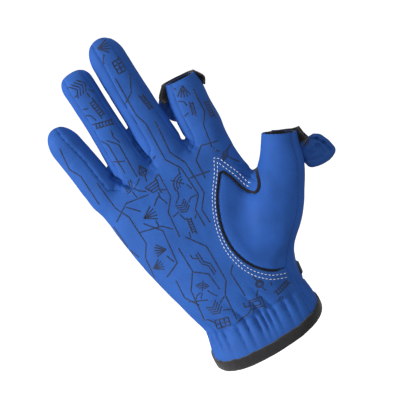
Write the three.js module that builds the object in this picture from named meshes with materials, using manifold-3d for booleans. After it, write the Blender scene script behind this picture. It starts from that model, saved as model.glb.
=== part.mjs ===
// Fishing glove for the right hand, in its worn form, with the fingertips of index and thumb folded back.
// Millimetres. +Z runs from the wrist opening to the fingertips, +X toward the thumb, the palm faces -Y.
// The origin is the centre of the wrist opening.

import * as THREE from "three";
import { mergeVertices } from "three/addons/utils/BufferGeometryUtils.js";
import Module from "manifold-3d";

const wasm = await Module();
wasm.setup();

// Cloth and clearances
const CLOTH = 1.6;
const LINING = 1.0;
const GAP = 0.3;
const EDGING_WIDTH = 1.3;

// Hem, wrist and palm: across the hand and through it
const HEM = { width: 77.3, depth: 53 };
const WRIST = { width: 73.8, depth: 46 };
const PALM = { width: 100, depth: 44 };
const CUFF_LENGTH = 28;
const PALM_LENGTH = 112;
const HEM_TILT = 18;
const HEM_ROLL = 3;

// Gathers of the wrist elastic, across the front
const PLEATS = 11;
const PLEAT_DEPTH = 1.5;

// Binding round the hem
const BINDING_HEIGHT = 6.5;
const BINDING_CLOTH = 0.9;

// Fingers: length from the root section inside the palm, to the tip or, on the index finger, to the rim
const MIDDLE = { length: 97, width: 25, depth: 21.5, roundness: 2.1, lean: 3.4 };
const RING = { length: 85.7, width: 21.8, depth: 20, roundness: 2.6, lean: 4 };
const LITTLE = { length: 65.7, width: 22.6, depth: 18.5, roundness: 2.2, lean: 11 };
const INDEX = { length: 49, width: 26, depth: 22, lean: -1.5 };
const FINGER_CURL = 7;

// Thumb: length from its root inside the palm to the rim of its open end
const THUMB = { length: 83, width: 38, depth: 34, lean: -32.8 };

// Caps folded back off the index finger and the thumb. The index cap's mouth is below the rim; the thumb
// cap's is at up, a share of the thumb's length, and aside from its side.
const INDEX_CAP = { width: 33.5, depth: 11, length: 26, below: 4.5 };
const THUMB_CAP = { width: 20.5, depth: 11, length: 19.5, lean: 5, up: 0.94, aside: 6.5 };

// Linings turned out at the caps' mouths: height, how far they stand off the finger's sides, how far they
// reach past its rim, how far they sit aside, and the angles in degrees that they cover round its back
const INDEX_COLLAR = { height: 12, spread: 3, past: 1.5, aside: -0.8, from: -12, to: 192 };
const THUMB_COLLAR = { height: 13, spread: 4.2, past: 3.5, aside: 0, from: -55, to: 105 };

// Tab at the back of the wrist
const TAB = { length: 40, height: 10, thickness: 1.8 };

// Seams: how far back the side strips between the fingers reach, how far the thumb's side seam lies inside
// its edge, and how far in front of the hand's middle plane the thumb's front cloth ends
const STRIP_BACK = 5.5;
const THUMB_SEAM_INSET = 4.5;
const FRONT_OF_THUMB = 5;

// Shares of a finger's length at which the outline of a side strip is drawn, and how narrow the last is
const STRIP_POINTS = [0.2, 0.4, 0.6, 0.85, 1.06];
const STRIP_TIP_SHARE = 0.8;

// How far the outlines that part the thumb's cloth run past its rim, and how far they spread there
const ABOVE_RIM = 12;
const BESIDE_RIM = 2;

// How square the sections are: 2 is an ellipse
const HAND_SQUARENESS = 2.4;
const TUBE_SQUARENESS = 2.2;
const THUMB_SQUARENESS = 2.15;

// Heights of the rings of a fingertip's dome, in shares of its rise
const DOME_HEIGHTS = [0.42, 0.72, 0.9, 0.975];

// Faces round each tube
const CUFF_STEPS = { front: 2 * PLEATS, back: 10 };
const PALM_STEPS = { front: 14, back: 10 };
const FINGER_STEPS = { front: 7, back: 7 };
const THUMB_STEPS = { front: 9, back: 7 };
const BAND_STEPS = 12;

// Points closer than this to their neighbours are merged where solids are cut
const TOLERANCE = 0.03;

const ROOT_HEIGHT = CUFF_LENGTH + 0.875 * PALM_LENGTH;
const FAR = 300;

// Sections of the cuff, from the hem up. up is a share of the cuff's length, left, right, front and back
// are shares of the width and depth of the size named in of, tilt and pleat are shares of their full values.
const CUFF_SECTIONS = [
  { of: HEM, up: 0.0, left: -0.476, right: 0.524, front: 0.5, back: 0.5, tilt: 1.0, pleat: 0.0 },
  { of: HEM, up: 0.22, left: -0.472, right: 0.524, front: 0.485, back: 0.485, tilt: 0.8, pleat: 0 },
  { of: WRIST, up: 0.4, left: -0.475, right: 0.54, front: 0.525, back: 0.52, tilt: 0.6, pleat: 0.8 },
  { of: WRIST, up: 0.58, left: -0.467, right: 0.533, front: 0.5, back: 0.5, tilt: 0.45, pleat: 1.0 },
  { of: WRIST, up: 0.8, left: -0.468, right: 0.525, front: 0.5, back: 0.49, tilt: 0.25, pleat: 0.6 },
];

// Sections of the palm, from the end of the cuff to the finger roots, in shares of the palm's sizes.
const PALM_SECTIONS = [
  { of: PALM, up: 0.01, left: -0.365, right: 0.39, front: 0.54, back: 0.51, tilt: 0.12, pleat: 0.0 },
  { of: PALM, up: 0.06, left: -0.384, right: 0.395, front: 0.55, back: 0.5, tilt: 0, pleat: 0 },
  { of: PALM, up: 0.13, left: -0.408, right: 0.4, front: 0.55, back: 0.49, tilt: 0, pleat: 0 },
  { of: PALM, up: 0.21, left: -0.437, right: 0.4, front: 0.53, back: 0.46, tilt: 0, pleat: 0 },
  { of: PALM, up: 0.31, left: -0.466, right: 0.395, front: 0.5, back: 0.43, tilt: 0, pleat: 0 },
  { of: PALM, up: 0.43, left: -0.503, right: 0.385, front: 0.45, back: 0.4, tilt: 0, pleat: 0 },
  { of: PALM, up: 0.56, left: -0.532, right: 0.41, front: 0.41, back: 0.375, tilt: 0, pleat: 0 },
  { of: PALM, up: 0.67, left: -0.552, right: 0.415, front: 0.375, back: 0.355, tilt: 0, pleat: 0 },
  { of: PALM, up: 0.79, left: -0.57, right: 0.395, front: 0.34, back: 0.33, tilt: 0, pleat: 0 },
  { of: PALM, up: 0.89, left: -0.59, right: 0.385, front: 0.28, back: 0.275, tilt: 0, pleat: 0 },
  { of: PALM, up: 0.965, left: -0.575, right: 0.36, front: 0.12, back: 0.12, tilt: 0, pleat: 0 },
];

// Sections of each finger up to its rounded tip, in shares of the finger's length, width and depth.
// root is where the finger starts, as a share of the palm's width from its middle line.
const FINGERS = {
  little: {
    size: LITTLE,
    root: -0.472,
    drop: 6,
    sections: [
      { along: 0.0, width: 0.8, depth: 0.95, shift: 0.03 },
      { along: 0.15, width: 1.0, depth: 1.1, shift: 0.0 },
      { along: 0.3, width: 1.02, depth: 1.06, shift: 0.0 },
      { along: 0.48, width: 1.01, depth: 1.0, shift: 0.01 },
      { along: 0.74, width: 0.96, depth: 0.97, shift: 0.0 },
    ],
  },
  ring: {
    size: RING,
    root: -0.263,
    drop: 0,
    sections: [
      { along: 0.0, width: 1.06, depth: 1.08, shift: 0.0 },
      { along: 0.14, width: 1.1, depth: 1.12, shift: 0.0 },
      { along: 0.3, width: 1.09, depth: 1.04, shift: 0.01 },
      { along: 0.42, width: 1.03, depth: 1.0, shift: 0.01 },
      { along: 0.55, width: 0.985, depth: 1.0, shift: 0.01 },
      { along: 0.7, width: 0.985, depth: 0.98, shift: 0.0 },
      { along: 0.872, width: 1.01, depth: 0.96, shift: 0.0 },
    ],
  },
  middle: {
    size: MIDDLE,
    root: -0.016,
    drop: 0,
    sections: [
      { along: 0.0, width: 1.05, depth: 1.1, shift: 0.02 },
      { along: 0.16, width: 1.08, depth: 1.1, shift: 0.02 },
      { along: 0.29, width: 1.07, depth: 1.04, shift: 0.01 },
      { along: 0.4, width: 1.01, depth: 1.02, shift: 0.01 },
      { along: 0.55, width: 0.99, depth: 0.99, shift: 0.0 },
      { along: 0.835, width: 0.965, depth: 0.95, shift: 0.0 },
    ],
  },
  index: {
    size: INDEX,
    root: 0.263,
    drop: 0,
    open: true,
    sections: [
      { along: 0.0, width: 0.84, depth: 0.95, shift: -0.02 },
      { along: 0.18, width: 0.985, depth: 1.08, shift: 0.0 },
      { along: 0.64, width: 1.0, depth: 1.0, shift: -0.01 },
      { along: 0.82, width: 0.95, depth: 0.97, shift: 0.01 },
      { along: 1.0, width: 0.8, depth: 0.9, shift: 0.03 },
    ],
  },
};

// Sections of the thumb, in shares of its length, width and depth. bow moves a section sideways off the
// straight axis, turn tips it against the axis in degrees, forward moves it toward the palm side.
const THUMB_ROOT = { across: 0.24, up: 0.15 };
const THUMB_SECTIONS = [
  { along: 0.0, bow: 0.0, turn: 0, width: 0.8, depth: 0.9, forward: 0.06 },
  { along: 0.184, bow: -0.005, turn: -2, width: 0.95, depth: 1.08, forward: 0.12 },
  { along: 0.391, bow: 0.006, turn: -5, width: 1.05, depth: 1.06, forward: 0.18 },
  { along: 0.604, bow: 0.03, turn: -3, width: 0.92, depth: 0.88, forward: 0.24 },
  { along: 0.795, bow: 0.036, turn: 6, width: 0.76, depth: 0.76, forward: 0.27 },
  { along: 0.907, bow: 0.017, turn: 8, width: 0.66, depth: 0.7, forward: 0.27 },
  { along: 1.0, bow: 0.0, turn: 8.5, width: 0.605, depth: 0.66, forward: 0.27 },
];

// Sections of the two cap pouches from the closed end up to the mouth, in shares of the cap's sizes.
const INDEX_CAP_SECTIONS = [
  { along: 0.0, width: 0.4, depth: 0.45, shift: 0.0 },
  { along: 0.16, width: 0.8, depth: 0.8, shift: 0.0 },
  { along: 0.38, width: 0.97, depth: 0.95, shift: 0.0 },
  { along: 0.62, width: 1.0, depth: 1.0, shift: -0.02 },
  { along: 0.84, width: 0.92, depth: 1.0, shift: 0.0 },
  { along: 1.0, width: 0.74, depth: 0.9, shift: 0.03 },
];
const THUMB_CAP_SECTIONS = [
  { along: 0.0, width: 0.5, depth: 0.45, shift: 0.04 },
  { along: 0.14, width: 0.9, depth: 0.8, shift: 0.02 },
  { along: 0.36, width: 1.0, depth: 1.0, shift: 0.0 },
  { along: 0.62, width: 0.88, depth: 1.0, shift: 0.02 },
  { along: 0.84, width: 0.66, depth: 0.9, shift: 0.03 },
  { along: 1.0, width: 0.38, depth: 0.7, shift: 0.03 },
];

// Sections of the linings turned out at the caps' mouths, from their lower edge up. spread is how far
// they stand off the finger's side, as a share of the collar's own spread.
const COLLAR_SECTIONS = [
  { up: 0.0, spread: 0.25 },
  { up: 0.5, spread: 1.0 },
  { up: 0.78, spread: 0.65 },
  { up: 1.0, spread: 0.2 },
];

// Edge of the thumb inset on the palm: from its lower end up the palm side to its point, then down
// into the web. across is a share of the palm's width, up a share of the palm's length.
const INSET_LEFT = [
  { across: 0.34, up: 0.035 },
  { across: 0.22, up: 0.083 },
  { across: 0.12, up: 0.178 },
  { across: 0.072, up: 0.315 },
  { across: 0.083, up: 0.464 },
  { across: 0.14, up: 0.603 },
  { across: 0.23, up: 0.722 },
];
const INSET_WEB = [
  { across: 0.245, up: 0.722 },
  { across: 0.275, up: 0.665 },
  { across: 0.31, up: 0.578 },
  { across: 0.365, up: 0.534 },
  { across: 0.42, up: 0.565 },
  { across: 0.455, up: 0.66 },
];

// Where the thumb's side seam runs, as shares of the thumb's length, at THUMB_SEAM_INSET from its edge.
const SIDE_SEAM = [0.95, 0.8, 0.6, 0.4, 0.2];

// Materials
const materials = {
  printed: new THREE.MeshStandardMaterial({ color: 0x2d5fb9, roughness: 0.72, metalness: 0 }),
  plain: new THREE.MeshStandardMaterial({ color: 0x2b5cb4, roughness: 0.68, metalness: 0 }),
  binding: new THREE.MeshStandardMaterial({ color: 0x1d1f26, roughness: 0.85, metalness: 0 }),
  lining: new THREE.MeshStandardMaterial({ color: 0x202126, roughness: 0.95, metalness: 0 }),
};

const radians = (degrees) => (degrees * Math.PI) / 180;

// Angles round a section: the front half and the back half each have their own number of steps.
function angles(steps) {
  const front = Array.from({ length: steps.front }, (_, i) => Math.PI * (1 + i / steps.front));
  const back = Array.from({ length: steps.back }, (_, i) => (Math.PI * i) / steps.back);
  return [...front, ...back];
}

// A point of a rounded oval with half sizes a and b; power 2 is an ellipse, more is squarer.
function oval(angle, a, b, power) {
  const c = Math.cos(angle);
  const s = Math.sin(angle);
  const bend = 2 / power;
  return [Math.sign(c) * a * Math.abs(c) ** bend, Math.sign(s) * b * Math.abs(s) ** bend];
}

// A ring of points for one section of a tube whose axis leans in the XZ plane.
function tubeRing(section, inset, steps) {
  const { x, y, z, lean, width, depth, power = TUBE_SQUARENESS } = section;
  const across = new THREE.Vector3(Math.cos(lean), 0, Math.sin(lean));
  return angles(steps).map((angle) => {
    const [u, v] = oval(angle, width / 2 - inset, depth / 2 - inset, power);
    return new THREE.Vector3(x, y, z).addScaledVector(across, u).add(new THREE.Vector3(0, v, 0));
  });
}

// A ring of points for one section of the cuff or palm.
function handRing(section, inset, steps) {
  const { of: size, left, right, front, back, tilt, pleat } = section;
  const a = ((right - left) * size.width) / 2 - inset;
  const middle = ((right + left) * size.width) / 2;
  const slope = Math.tan(radians(HEM_TILT * tilt));
  const roll = Math.tan(radians(HEM_ROLL * tilt));
  return angles(steps).map((angle) => {
    const b = (Math.sin(angle) < 0 ? front : back) * size.depth - inset;
    const phase = (angle / Math.PI - 1) * PLEATS;
    const fold = angle >= Math.PI ? pleat * PLEAT_DEPTH * 0.5 * (1 - Math.cos(2 * Math.PI * phase)) : 0;
    const [u, v] = oval(angle, a - fold, b - fold, HAND_SQUARENESS);
    return new THREE.Vector3(middle + u, v, section.z + v * slope + (middle + u) * roll);
  });
}

const handSections = [
  ...CUFF_SECTIONS.map((row) => ({ ...row, z: row.up * CUFF_LENGTH, steps: CUFF_STEPS })),
  ...PALM_SECTIONS.map((row) => ({ ...row, z: CUFF_LENGTH + row.up * PALM_LENGTH, steps: PALM_STEPS })),
];

// A closed solid through rings of points. Neighbouring rings may have different numbers of points.
function loft(rings, tip) {
  const positions = [];
  const index = [];
  const starts = rings.map((ring) => {
    const start = positions.length / 3;
    ring.forEach((p) => positions.push(p.x, p.y, p.z));
    return start;
  });
  for (let k = 0; k + 1 < rings.length; k += 1) {
    const [m, n] = [rings[k].length, rings[k + 1].length];
    let i = 0;
    let j = 0;
    while (i < m || j < n) {
      const a = starts[k] + (i % m);
      const b = starts[k + 1] + (j % n);
      const alongFirst = j >= n || (i < m && (i + 1) / m <= (j + 1) / n + 1e-9);
      if (alongFirst) {
        i += 1;
        index.push(a, starts[k] + (i % m), b);
      } else {
        j += 1;
        index.push(a, starts[k + 1] + (j % n), b);
      }
    }
  }
  const middle = (ring) => ring.reduce((sum, p) => sum.add(p), new THREE.Vector3()).divideScalar(ring.length);
  const closeEnd = (ring, start, point, first) => {
    const centre = positions.length / 3;
    positions.push(point.x, point.y, point.z);
    ring.forEach((_, i) => {
      const next = (i + 1) % ring.length;
      index.push(centre, start + (first ? next : i), start + (first ? i : next));
    });
  };
  const last = rings.length - 1;
  closeEnd(rings[0], starts[0], middle(rings[0]), true);
  closeEnd(rings[last], starts[last], tip ?? middle(rings[last]), false);
  return solid(positions, index);
}

function solid(positions, index) {
  return new wasm.Manifold(
    new wasm.Mesh({
      numProp: 3,
      vertProperties: Float32Array.from(positions),
      triVerts: Uint32Array.from(index),
      tolerance: TOLERANCE,
    }),
  );
}

function solidOf(geometry) {
  geometry.deleteAttribute("normal");
  geometry.deleteAttribute("uv");
  const merged = mergeVertices(geometry, 1e-4);
  return solid(merged.attributes.position.array, merged.index.array);
}

// The space between two heights along Y inside an outline drawn in X and Z.
function prism(outline, low, high) {
  const shape = new THREE.Shape(outline.map(([x, z]) => new THREE.Vector2(x, z)));
  const geometry = new THREE.ExtrudeGeometry(shape, { depth: high - low, bevelEnabled: false });
  geometry.rotateX(Math.PI / 2);
  geometry.translate(0, high, 0);
  return solidOf(geometry);
}

function slab(low, high) {
  return prism([[-FAR, -FAR], [FAR, -FAR], [FAR, FAR], [-FAR, FAR]], low, high);
}

// An outline moved sideways, to the left of its direction when distance is positive.
function moved(outline, distance) {
  const side = (p, q) => {
    const length = Math.hypot(q[0] - p[0], q[1] - p[1]);
    return [-(q[1] - p[1]) / length, (q[0] - p[0]) / length];
  };
  return outline.map((p, i) => {
    const before = i > 0 ? side(outline[i - 1], p) : side(p, outline[1]);
    const after = i + 1 < outline.length ? side(p, outline[i + 1]) : before;
    const sum = [before[0] + after[0], before[1] + after[1]];
    const length = Math.hypot(...sum);
    const mitre = Math.min(2, 2 / length);
    return [p[0] + (sum[0] / length) * distance * mitre, p[1] + (sum[1] / length) * distance * mitre];
  });
}

function smooth(points, count) {
  const curve = new THREE.SplineCurve(points.map(([x, z]) => new THREE.Vector2(x, z)));
  return curve.getPoints(count).map((p) => [p.x, p.y]);
}

// Palm and fingers

const palmPoint = ({ across, up }) => [across * PALM.width, CUFF_LENGTH + up * PALM_LENGTH];

function handSolid(inset, below = 0) {
  const top = handSections.at(-1);
  const rows = [...handSections.slice(0, -1), { ...top, z: top.z - inset }];
  const rings = rows.map((row) => handRing(row, inset, row.steps));
  if (below) {
    rings.unshift(rings[0].map((p) => p.clone().add(new THREE.Vector3(0, 0, -below))));
  }
  return loft(rings);
}

function fingerPoint(finger, along, aside) {
  const { size, root, drop } = finger;
  const lean = radians(size.lean);
  const x = root * PALM.width - Math.sin(lean) * along + Math.cos(lean) * aside;
  const z = ROOT_HEIGHT - drop + Math.cos(lean) * along + Math.sin(lean) * aside;
  return [x, z];
}

function fingerRow(finger, along, width, depth, shift) {
  const [x, z] = fingerPoint(finger, along, shift);
  return { x, y: 0, z, lean: radians(finger.size.lean), width, depth };
}

function fingerRows(finger) {
  const { length, width, depth } = finger.size;
  return finger.sections.map((row) =>
    fingerRow(finger, row.along * length, row.width * width, row.depth * depth, row.shift * width),
  );
}

// A finger's solid. A closed tip is a dome; an open end is lengthened by past so that it cuts through.
function fingerSolid(finger, inset, past = 0) {
  const { size, sections } = finger;
  const rows = fingerRows(finger);
  const rings = rows.map((row) => tubeRing(row, inset, FINGER_STEPS));
  const last = sections.at(-1);
  if (finger.open) {
    if (past) {
      const [x, z] = fingerPoint(finger, size.length + past, last.shift * size.width);
      rings.push(tubeRing({ ...rows.at(-1), x, z }, inset, FINGER_STEPS));
    }
    return loft(rings);
  }
  const base = last.along * size.length;
  const rise = size.length - base - inset;
  const width = last.width * size.width - 2 * inset;
  const depth = last.depth * size.depth - 2 * inset;
  for (const t of DOME_HEIGHTS) {
    const narrow = (1 - t ** size.roundness) ** (1 / size.roundness);
    const row = fingerRow(finger, base + t * rise, width * narrow, depth * narrow, 0);
    rings.push(tubeRing(row, 0, FINGER_STEPS));
  }
  const [x, z] = fingerPoint(finger, size.length - inset, 0);
  return loft(rings, new THREE.Vector3(x, 0, z));
}

// Thumb

const thumbLean = radians(THUMB.lean);
const thumbRoot = palmPoint(THUMB_ROOT);

function thumbPoint(along, aside) {
  const x = thumbRoot[0] - Math.sin(thumbLean) * along + Math.cos(thumbLean) * aside;
  const z = thumbRoot[1] + Math.cos(thumbLean) * along + Math.sin(thumbLean) * aside;
  return [x, z];
}

const thumbRows = THUMB_SECTIONS.map((row) => {
  const [x, z] = thumbPoint(row.along * THUMB.length, row.bow * THUMB.length);
  const lean = thumbLean + radians(row.turn);
  const y = -row.forward * THUMB.depth;
  const [width, depth] = [row.width * THUMB.width, row.depth * THUMB.depth];
  return { x, y, z, lean, width, depth, power: THUMB_SQUARENESS };
});

function thumbSolid(inset, past = 0) {
  const rings = thumbRows.map((row) => tubeRing(row, inset, THUMB_STEPS));
  if (past) {
    const rim = thumbRows.at(-1);
    const x = rim.x - Math.sin(rim.lean) * past;
    const z = rim.z + Math.cos(rim.lean) * past;
    rings.push(tubeRing({ ...rim, x, z }, inset, THUMB_STEPS));
  }
  return loft(rings);
}

// A tube's section at any share of its length, also a little past its ends.
function rowAt(rows, sections, along) {
  const after = sections.findIndex((section) => section.along >= along);
  const k = after < 0 ? sections.length - 1 : Math.max(after, 1);
  const [p, q] = [rows[k - 1], rows[k]];
  const from = sections[k - 1].along;
  const t = (along - from) / (sections[k].along - from);
  const mixed = {};
  for (const name of ["x", "y", "z", "lean", "width", "depth"]) {
    mixed[name] = p[name] + (q[name] - p[name]) * t;
  }
  return mixed;
}

// The thumb's side at a share of its length, inset from the edge.
function thumbSide(along, inset, sign) {
  const row = rowAt(thumbRows, THUMB_SECTIONS, along);
  const reach = sign * (row.width / 2 - inset);
  return [row.x + Math.cos(row.lean) * reach, row.z + Math.sin(row.lean) * reach];
}

// The whole cloth shell

function shellSolid(inset, open) {
  const past = open ? 4 * CLOTH : 0;
  const parts = [
    handSolid(inset, past),
    thumbSolid(inset, past),
    ...Object.values(FINGERS).map((finger) => fingerSolid(finger, inset, past)),
  ];
  return parts.reduce((sum, part) => sum.add(part));
}

const outside = shellSolid(0, false);
const hollow = shellSolid(CLOTH, true);
const shell = outside.subtract(hollow);

// Outlines that part the cloth into its panels

const insetLeft = smooth(INSET_LEFT.map(palmPoint), 13);
const insetWeb = smooth(INSET_WEB.map(palmPoint), 10);
const insetEdge = [...insetLeft, ...insetWeb];
const webEnd = thumbSide(0.93, -2 * CLOTH, -1);
const beyondRim = [thumbSide(1, -3 * CLOTH, -1), thumbSide(1, -3 * CLOTH, 1)].map(([x, z], i) => [
  x - Math.sin(thumbRows.at(-1).lean) * ABOVE_RIM + (i ? BESIDE_RIM : -BESIDE_RIM),
  z + Math.cos(thumbRows.at(-1).lean) * ABOVE_RIM,
]);
const sideSeam = [...SIDE_SEAM.map((along) => thumbSide(along, THUMB_SEAM_INSET, 1)), insetLeft[0]];
const rimSeam = thumbSide(1, THUMB_SEAM_INSET / 2, 1);
const seamTop = [
  rimSeam[0] - Math.sin(thumbRows.at(-1).lean) * ABOVE_RIM,
  rimSeam[1] + Math.cos(thumbRows.at(-1).lean) * ABOVE_RIM,
];
const seamPath = [rimSeam, ...sideSeam];

// The thumb inset grown by distance past its edge on the palm, and by aside past the side seam.
function thumbOutline(distance, aside) {
  const edge = moved([...insetEdge, webEnd, beyondRim[0]], distance);
  const seam = moved([seamTop, ...seamPath], aside);
  return [...edge, ...seam.slice(0, -1)];
}

// The cloth to the right of the thumb's side seam and of the seam that runs on down to the hem.
function rightOutline(aside) {
  const hemEnd = [insetLeft[0][0], -FAR];
  const seam = moved([seamTop, ...seamPath, hemEnd], aside);
  return [...seam, [FAR, -FAR], [FAR, seam[0][1]]];
}

const EDGE_OUT = GAP + EDGING_WIDTH;
const front = slab(-FAR, -GAP / 2);
const back = slab(GAP / 2, FAR);
const thumbFront = slab(-FAR, -FRONT_OF_THUMB);
const rightSide = prism(rightOutline(GAP / 2), -FAR, FAR);
const rightCut = prism(rightOutline(-GAP / 2), -FAR, FAR);
const insetInner = prism(thumbOutline(0, -GAP / 2), -FAR, FAR);
const insetOuter = prism(thumbOutline(EDGE_OUT + GAP, GAP / 2), -FAR, FAR);

// A side strip between two fingers: its outline runs up one finger's seam and down the other's.
function stripOutline(first, firstInset, second, secondInset, bottom, grow) {
  const seamOf = (finger, inset, sign) =>
    STRIP_POINTS.map((along) => {
      const { size, sections } = finger;
      const row = sections.findLast((section) => section.along <= along);
      const tip = !finger.open && along > sections.at(-1).along ? STRIP_TIP_SHARE : 1;
      const reach = sign * ((row.width * size.width) / 2 - inset) * tip + row.shift * size.width;
      return fingerPoint(finger, along * size.length, reach);
    });
  const down = seamOf(first, firstInset, 1).reverse();
  const up = seamOf(second, secondInset, -1);
  return moved([...down, palmPoint(bottom), ...up], -grow);
}

// The strips: the insets of their seams from the two fingers' edges are shares of those fingers' widths.
const STRIPS = [
  {
    name: "little_ring",
    fingers: ["little", "ring"],
    insets: [0.354, 0.184],
    bottom: { across: -0.385, up: 0.91 },
  },
  {
    name: "ring_middle",
    fingers: ["ring", "middle"],
    insets: [0.147, 0.26],
    bottom: { across: -0.155, up: 0.96 },
  },
  {
    name: "middle_index",
    fingers: ["middle", "index"],
    insets: [0.128, 0.173],
    bottom: { across: 0.128, up: 0.91 },
  },
];

function stripPrism({ fingers, insets, bottom }, grow) {
  const [first, second] = fingers.map((name) => FINGERS[name]);
  const [firstInset, secondInset] = [insets[0] * first.size.width, insets[1] * second.size.width];
  const outline = stripOutline(first, firstInset, second, secondInset, bottom, grow);
  return prism(outline, -FAR, STRIP_BACK + grow);
}

// Meshes

// The fingers curl a little toward the palm, more toward their tips.
function curled(point) {
  const start = CUFF_LENGTH + 0.8 * PALM_LENGTH;
  const reach = ROOT_HEIGHT + MIDDLE.length - start;
  const share = Math.max(0, point.z - start) / reach;
  point.y -= FINGER_CURL * share * share;
  return point;
}

// Keeps the largest body of a cut, which leaves out slivers narrower than the gaps.
function largest(piece) {
  const bodies = piece.decompose();
  return bodies.reduce((best, body) => (body.volume() > best.volume() ? body : best));
}

function meshOf(name, piece, material) {
  const { numProp, vertProperties, triVerts } = largest(piece).getMesh();
  const geometry = new THREE.BufferGeometry();
  const positions = new Float32Array((vertProperties.length / numProp) * 3);
  for (let i = 0; i < positions.length / 3; i += 1) {
    const point = new THREE.Vector3(...vertProperties.slice(i * numProp, i * numProp + 3));
    curled(point).toArray(positions, i * 3);
  }
  geometry.setAttribute("position", new THREE.BufferAttribute(positions, 3));
  geometry.setIndex(new THREE.BufferAttribute(Uint32Array.from(triVerts), 1));
  const mesh = new THREE.Mesh(geometry, material);
  mesh.name = name;
  return mesh;
}

// Main cloth: everything above the binding's slot

const strips = STRIPS.map((strip) => ({
  name: `side_strip_${strip.name}`,
  piece: shell.intersect(stripPrism(strip, 0)),
  cut: stripPrism(strip, GAP),
}));
const stripCuts = strips.map((strip) => strip.cut).reduce((sum, cut) => sum.add(cut));

const backSpace = back.add(rightSide).add(insetOuter.intersect(slab(GAP - FRONT_OF_THUMB, FAR)));
const backPanel = shell.intersect(backSpace).subtract(stripCuts);
const palmPanel = shell.intersect(front).subtract(insetOuter).subtract(rightCut).subtract(stripCuts);
const thumbPanel = shell.intersect(insetInner).intersect(thumbFront);
const edgingInner = prism(thumbOutline(GAP, 0), -FAR, FAR);
const edgingBand = prism(thumbOutline(EDGE_OUT, -GAP), -FAR, FAR).subtract(edgingInner);
const edging = shell.intersect(edgingBand).intersect(thumbFront).subtract(rightCut);

// Binding folded round the hem, with a slot that the cloth's edge sits in

function hemBand(inset, low, high) {
  const [hem, above] = CUFF_SECTIONS;
  const share = high / (above.up * CUFF_LENGTH);
  const tilt = hem.tilt + (above.tilt - hem.tilt) * share;
  const rings = [{ ...hem, z: low }, { ...above, tilt, z: high }];
  return loft(rings.map((row) => handRing(row, inset, CUFF_STEPS)));
}

const bindingLow = -GAP - BINDING_CLOTH;
const bindingHigh = bindingLow + BINDING_HEIGHT;
const bindingPast = bindingHigh + CLOTH;
const hemSlot = hemBand(-GAP, -GAP, bindingPast).subtract(hemBand(CLOTH + GAP, bindingLow, bindingPast));
const cuffBinding = hemBand(-GAP - BINDING_CLOTH, bindingLow, bindingHigh)
  .subtract(hemBand(CLOTH + GAP + BINDING_CLOTH, bindingLow - CLOTH, bindingPast))
  .subtract(hemSlot);

// Tab that lies on the back of the wrist and reaches the right edge

const tabRight = WRIST.width;
const tabLeft = CUFF_SECTIONS[3].right * WRIST.width - TAB.length;
const tabLow = CUFF_LENGTH - 0.2 * TAB.height;
const tabOutline = [
  [tabLeft, tabLow],
  [tabRight, tabLow],
  [tabRight, tabLow + TAB.height],
  [tabLeft, tabLow + TAB.height],
];
const wristTab = handSolid(-GAP - TAB.thickness)
  .subtract(handSolid(-GAP))
  .intersect(prism(tabOutline, -TAB.thickness, FAR));

// Caps folded back, each with its lining turned out at the mouth

function tubeSolid(rows, inset, steps) {
  return loft(rows.map((row) => tubeRing(row, inset, steps)));
}

// A pouch hanging from its mouth. It starts at its closed end, and is open at the mouth.
function pouch(size, sections, mouth, lean) {
  const axis = [-Math.sin(lean), Math.cos(lean)];
  const across = [Math.cos(lean), Math.sin(lean)];
  const rows = (inset, past) =>
    sections.map((row, i) => {
      const end = i === 0 ? inset : 0;
      const along = (row.along - 1) * size.length + end + (i === sections.length - 1 ? past : 0);
      const shift = row.shift * size.width;
      const x = mouth.x + axis[0] * along + across[0] * shift;
      const z = mouth.z + axis[1] * along + across[1] * shift;
      return { x, y: mouth.y, z, lean, width: row.width * size.width, depth: row.depth * size.depth };
    });
  const outer = tubeSolid(rows(0, 0), 0, FINGER_STEPS);
  return { outer, inner: tubeSolid(rows(CLOTH, CLOTH), CLOTH, FINGER_STEPS) };
}

// Sections of a lining turned out round a finger's open end: close to its back, standing off its sides.
function collarRows(size, rows, sections, length) {
  return COLLAR_SECTIONS.map(({ up, spread }) => {
    const row = rowAt(rows, sections, 1 + (size.past + (up - 1) * size.height) / length);
    const stand = 2 * GAP + LINING;
    const x = row.x + Math.cos(row.lean) * size.aside;
    return { ...row, x, width: row.width + 2 * (stand + spread * size.spread), depth: row.depth + 2 * stand };
  });
}

// A thin band of cloth on the outside of a tube's sections, from one angle round to another.
function bandSolid(rows, from, to, thickness) {
  const steps = BAND_STEPS;
  const turns = Array.from({ length: steps + 1 }, (_, i) => radians(from + ((to - from) * i) / steps));
  const positions = [];
  for (const row of rows) {
    for (const inset of [0, thickness]) {
      turns.forEach((angle) => {
        const [u, v] = oval(angle, row.width / 2 - inset, row.depth / 2 - inset, TUBE_SQUARENESS);
        positions.push(row.x + Math.cos(row.lean) * u, row.y + v, row.z + Math.sin(row.lean) * u);
      });
    }
  }
  const at = (k, layer, i) => (2 * k + layer) * (steps + 1) + i;
  const index = [];
  const quad = (a, b, c, d) => index.push(a, b, c, a, c, d);
  const top = rows.length - 1;
  for (let k = 0; k < top; k += 1) {
    for (let i = 0; i < steps; i += 1) {
      quad(at(k, 0, i), at(k, 0, i + 1), at(k + 1, 0, i + 1), at(k + 1, 0, i));
      quad(at(k, 1, i), at(k + 1, 1, i), at(k + 1, 1, i + 1), at(k, 1, i + 1));
    }
    quad(at(k, 0, 0), at(k + 1, 0, 0), at(k + 1, 1, 0), at(k, 1, 0));
    quad(at(k + 1, 0, steps), at(k, 0, steps), at(k, 1, steps), at(k + 1, 1, steps));
  }
  for (let i = 0; i < steps; i += 1) {
    quad(at(0, 0, i + 1), at(0, 0, i), at(0, 1, i), at(0, 1, i + 1));
    quad(at(top, 0, i), at(top, 0, i + 1), at(top, 1, i + 1), at(top, 1, i));
  }
  return solid(positions, index);
}

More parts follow.
